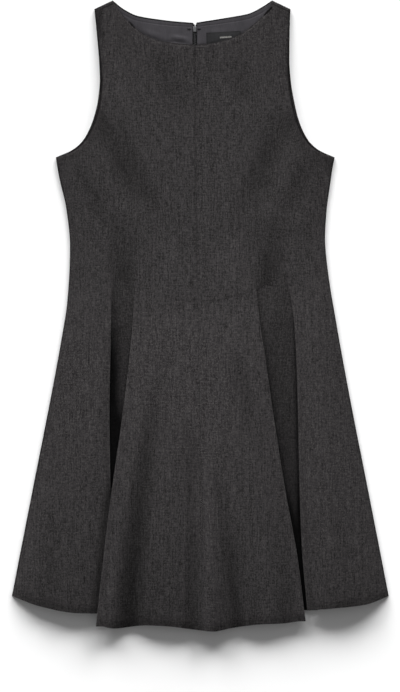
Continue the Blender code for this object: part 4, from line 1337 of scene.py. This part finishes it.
def addBeads(name, material, slot, segments, beads):
    # small round stitches or coils, each with its place and size
    shape = bmesh.new()
    for place, size in beads:
        around, high = segments
        made = bmesh.ops.create_uvsphere(shape, u_segments=around, v_segments=high, radius=0.5)["verts"]
        bmesh.ops.scale(shape, vec=size, verts=made)
        bmesh.ops.translate(shape, vec=place, verts=made)
    for face in shape.faces:
        face.smooth = True
    addPiece(name, shape, material, slot)


tacks = {                              # hold the lining to the zip's tapes
    "rows": [(-0.0170, 0.0060), (-0.0018, 0.0052)],      # middle and length of each
    "y": 0.4294,
    "count": 3,
    "apart": 0.0008,
    "thread": 0.0006,
}


def makeTacks():
    beads = []
    for x, long in tacks["rows"]:
        for k in range(tacks["count"]):
            y = tacks["y"] + (k - 1) * tacks["apart"]
            beads.append(((x, y, liningHeight(x, y) + 0.0002), (long, tacks["thread"], tacks["thread"])))
    addBeads("tackStitches", tapeCloth, "zip_tape", (8, 6), beads)


makeLabel()
makeTacks()
print("label and tacks made")


# ---- concealed zip

zipper = {
    "tapeHalves": [0.0110, 0.0085, 0.0060, 0.0040, 0.0028, 0.0014],      # steps from a tape's edge inwards
    "tapeRise": 0.0010,
    "coil": (0.0034, 0.0013, 0.0013),
    "coilStart": 0.0020,               # below the tapes' top
    "pitch": 0.0014,
    "sliderY": 0.4298,
}
(_, zipEndY, _), (_, zipTopY, _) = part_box("zip_chain")
tapeTop = backTop + dress["bentGap"] + zipper["tapeRise"]


def zipTapes():
    halves = [-half for half in zipper["tapeHalves"]] + [0.0] + zipper["tapeHalves"][::-1]
    rows = []
    for share in stations(zipTopY - zipEndY, 0.004, fineStep=0.0007):
        y = mix(zipTopY, zipEndY, share)
        rows.append([Vector((centreX(y) + x, y, tapeTop + zipHump(centreX(y) + x, y))) for x in halves])
    piece = clothPiece("zipTapes", rows, **tapeLayer)
    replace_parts(piece, "zip_chain")
    width, length, area = cutSize(rows)


def zipCoil():
    # one small loop of nylon for each tooth, on either side by turns
    highest, beads = zipTopY - zipper["coilStart"], []
    for k in range(int((highest - zipEndY) / zipper["pitch"])):
        y = highest - k * zipper["pitch"]
        x = centreX(y) + (0.0006 if k % 2 else -0.0006)
        beads.append(((x, y, tapeTop + zipHump(x, y) + 0.0005), zipper["coil"]))
    addBeads("zipCoil", coilNylon, "zip_tape", (8, 5), beads)


def zipSlider():
    low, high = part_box("zip_slider")
    base = hump["height"] + backTop + dress["gap"]
    shape = bmesh.new()
    parts = [
        ((0.0054, 0.0080, 0.0009), base + 0.00265, 0.0004),      # upper plate
        ((0.0054, 0.0080, 0.0008), base + 0.00045, 0.0003),      # lower plate
        ((0.0014, 0.0024, 0.0020), base + 0.0015, 0.0002),       # the neck between them
    ]
    for size, z, soft in parts:
        made = bmesh.ops.create_cube(shape, size=1.0)["verts"]
        bmesh.ops.scale(shape, vec=size, verts=made)
        for vertex in made:
            if vertex.co.y < 0:        # narrower at its lower end
                vertex.co.x *= 0.80
        bmesh.ops.translate(shape, vec=((low[0] + high[0]) / 2, zipper["sliderY"], z), verts=made)
        edges = {edge for vertex in made for edge in vertex.link_edges}
        bmesh.ops.bevel(shape, geom=list(edges), offset=soft, segments=3, profile=0.5,
                        affect="EDGES", material=-1)
    for face in shape.faces:
        face.smooth = True
    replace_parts(addPiece("sliderBody", shape, sliderEnamel, "zip_enamel"), "zip_slider")


zipTapes()
zipCoil()
zipSlider()
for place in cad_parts["zip_pull"].material_slots:
    place.material = sliderEnamel
print("zip made")


# ---- floor, light and camera

studio = {
    "floor": (0.93, 0.93, 0.93),
    "lights": [
        # name, degrees above the floor, degrees round from the shoulders to the left, size in degrees,
        # strength, and what it lights
        ("key", 17.0, 0.0, 36.0, 10.3, "dress"),
        ("side", 20.0, 88.0, 24.0, 1.8, "dress"),
        ("fallLeft", 13.0, 28.0, 32.0, 4.7, "floor"),
        ("fallRight", 13.0, -28.0, 32.0, 4.7, "floor"),
        ("fallHigh", 22.0, 0.0, 34.0, 2.4, "floor"),
    ],
    "lamp": {"place": (0.0, 0.075, 0.55), "across": 0.30, "power": 2.3},
    "sky": 0.20,
    "lens": 300.0,
    "film": 36.0,
    "seen": 1.038,                     # metres from the top of the frame to its bottom
    "middle": (-0.0005, -0.0454),
}


def makeFloor():
    shape = bmesh.new()
    bmesh.ops.create_grid(shape, x_segments=1, y_segments=1, size=6.0)
    bmesh.ops.translate(shape, vec=(0, 0, -0.0002), verts=shape.verts)
    mesh = bpy.data.meshes.new("floor")
    shape.to_mesh(mesh)
    shape.free()
    material, tree = newMaterial("paleFloor")
    feed(tree, tree.nodes["Principled BSDF"],
         {"Base Color": (*studio["floor"], 1.0), "Roughness": 0.9, "Specular IOR Level": 0.1})
    mesh.materials.append(material)
    floor = bpy.data.objects.new("floor", mesh)
    bpy.context.scene.collection.objects.link(floor)
    return floor


def addLight(light, place, floor, lit):
    # the floor has softer lights of its own, which draw the shadow below the hem
    light = bpy.data.objects.new(light.name, light)
    light.location = place
    bpy.context.scene.collection.objects.link(light)
    linked = bpy.data.collections.new(f"{light.name}Linked")
    linked.objects.link(floor)
    light.light_linking.receiver_collection = linked
    linked.collection_objects[0].light_linking.link_state = "INCLUDE" if lit == "floor" else "EXCLUDE"
    return light


def makeLights(floor):
    for name, height, turn, size, strength, lit in studio["lights"]:
        sun = bpy.data.lights.new(name, "SUN")
        sun.energy = strength
        sun.angle = math.radians(size)
        height, turn = math.radians(height), math.radians(turn)
        level = math.cos(height)
        away = Vector((-math.sin(turn) * level, math.cos(turn) * level, math.sin(height)))
        addLight(sun, away * 3, floor, lit).rotation_euler = away.to_track_quat("Z", "Y").to_euler()
    lamp = bpy.data.lights.new("lamp", "AREA")
    lamp.shape = "DISK"
    lamp.size = studio["lamp"]["across"]
    lamp.energy = studio["lamp"]["power"]
    addLight(lamp, studio["lamp"]["place"], floor, "dress").visible_camera = False
    world = bpy.data.worlds.new("studio")
    world.use_nodes = True
    feed(world.node_tree, world.node_tree.nodes["Background"], {0: (1, 1, 1, 1), 1: studio["sky"]})
    bpy.context.scene.world = world


def makeCamera():
    lens = bpy.data.cameras.new("camera")
    lens.lens = studio["lens"]
    lens.sensor_width = studio["film"]
    distance = studio["seen"] * studio["lens"] / studio["film"]
    lens.clip_end = distance * 3
    camera = bpy.data.objects.new("camera", lens)
    camera.location = (*studio["middle"], distance)
    bpy.context.scene.collection.objects.link(camera)
    bpy.context.scene.camera = camera
    bpy.context.scene.view_settings.view_transform = "Standard"
    bpy.context.scene.view_settings.look = "None"


makeLights(makeFloor())
makeCamera()
print("studio made")
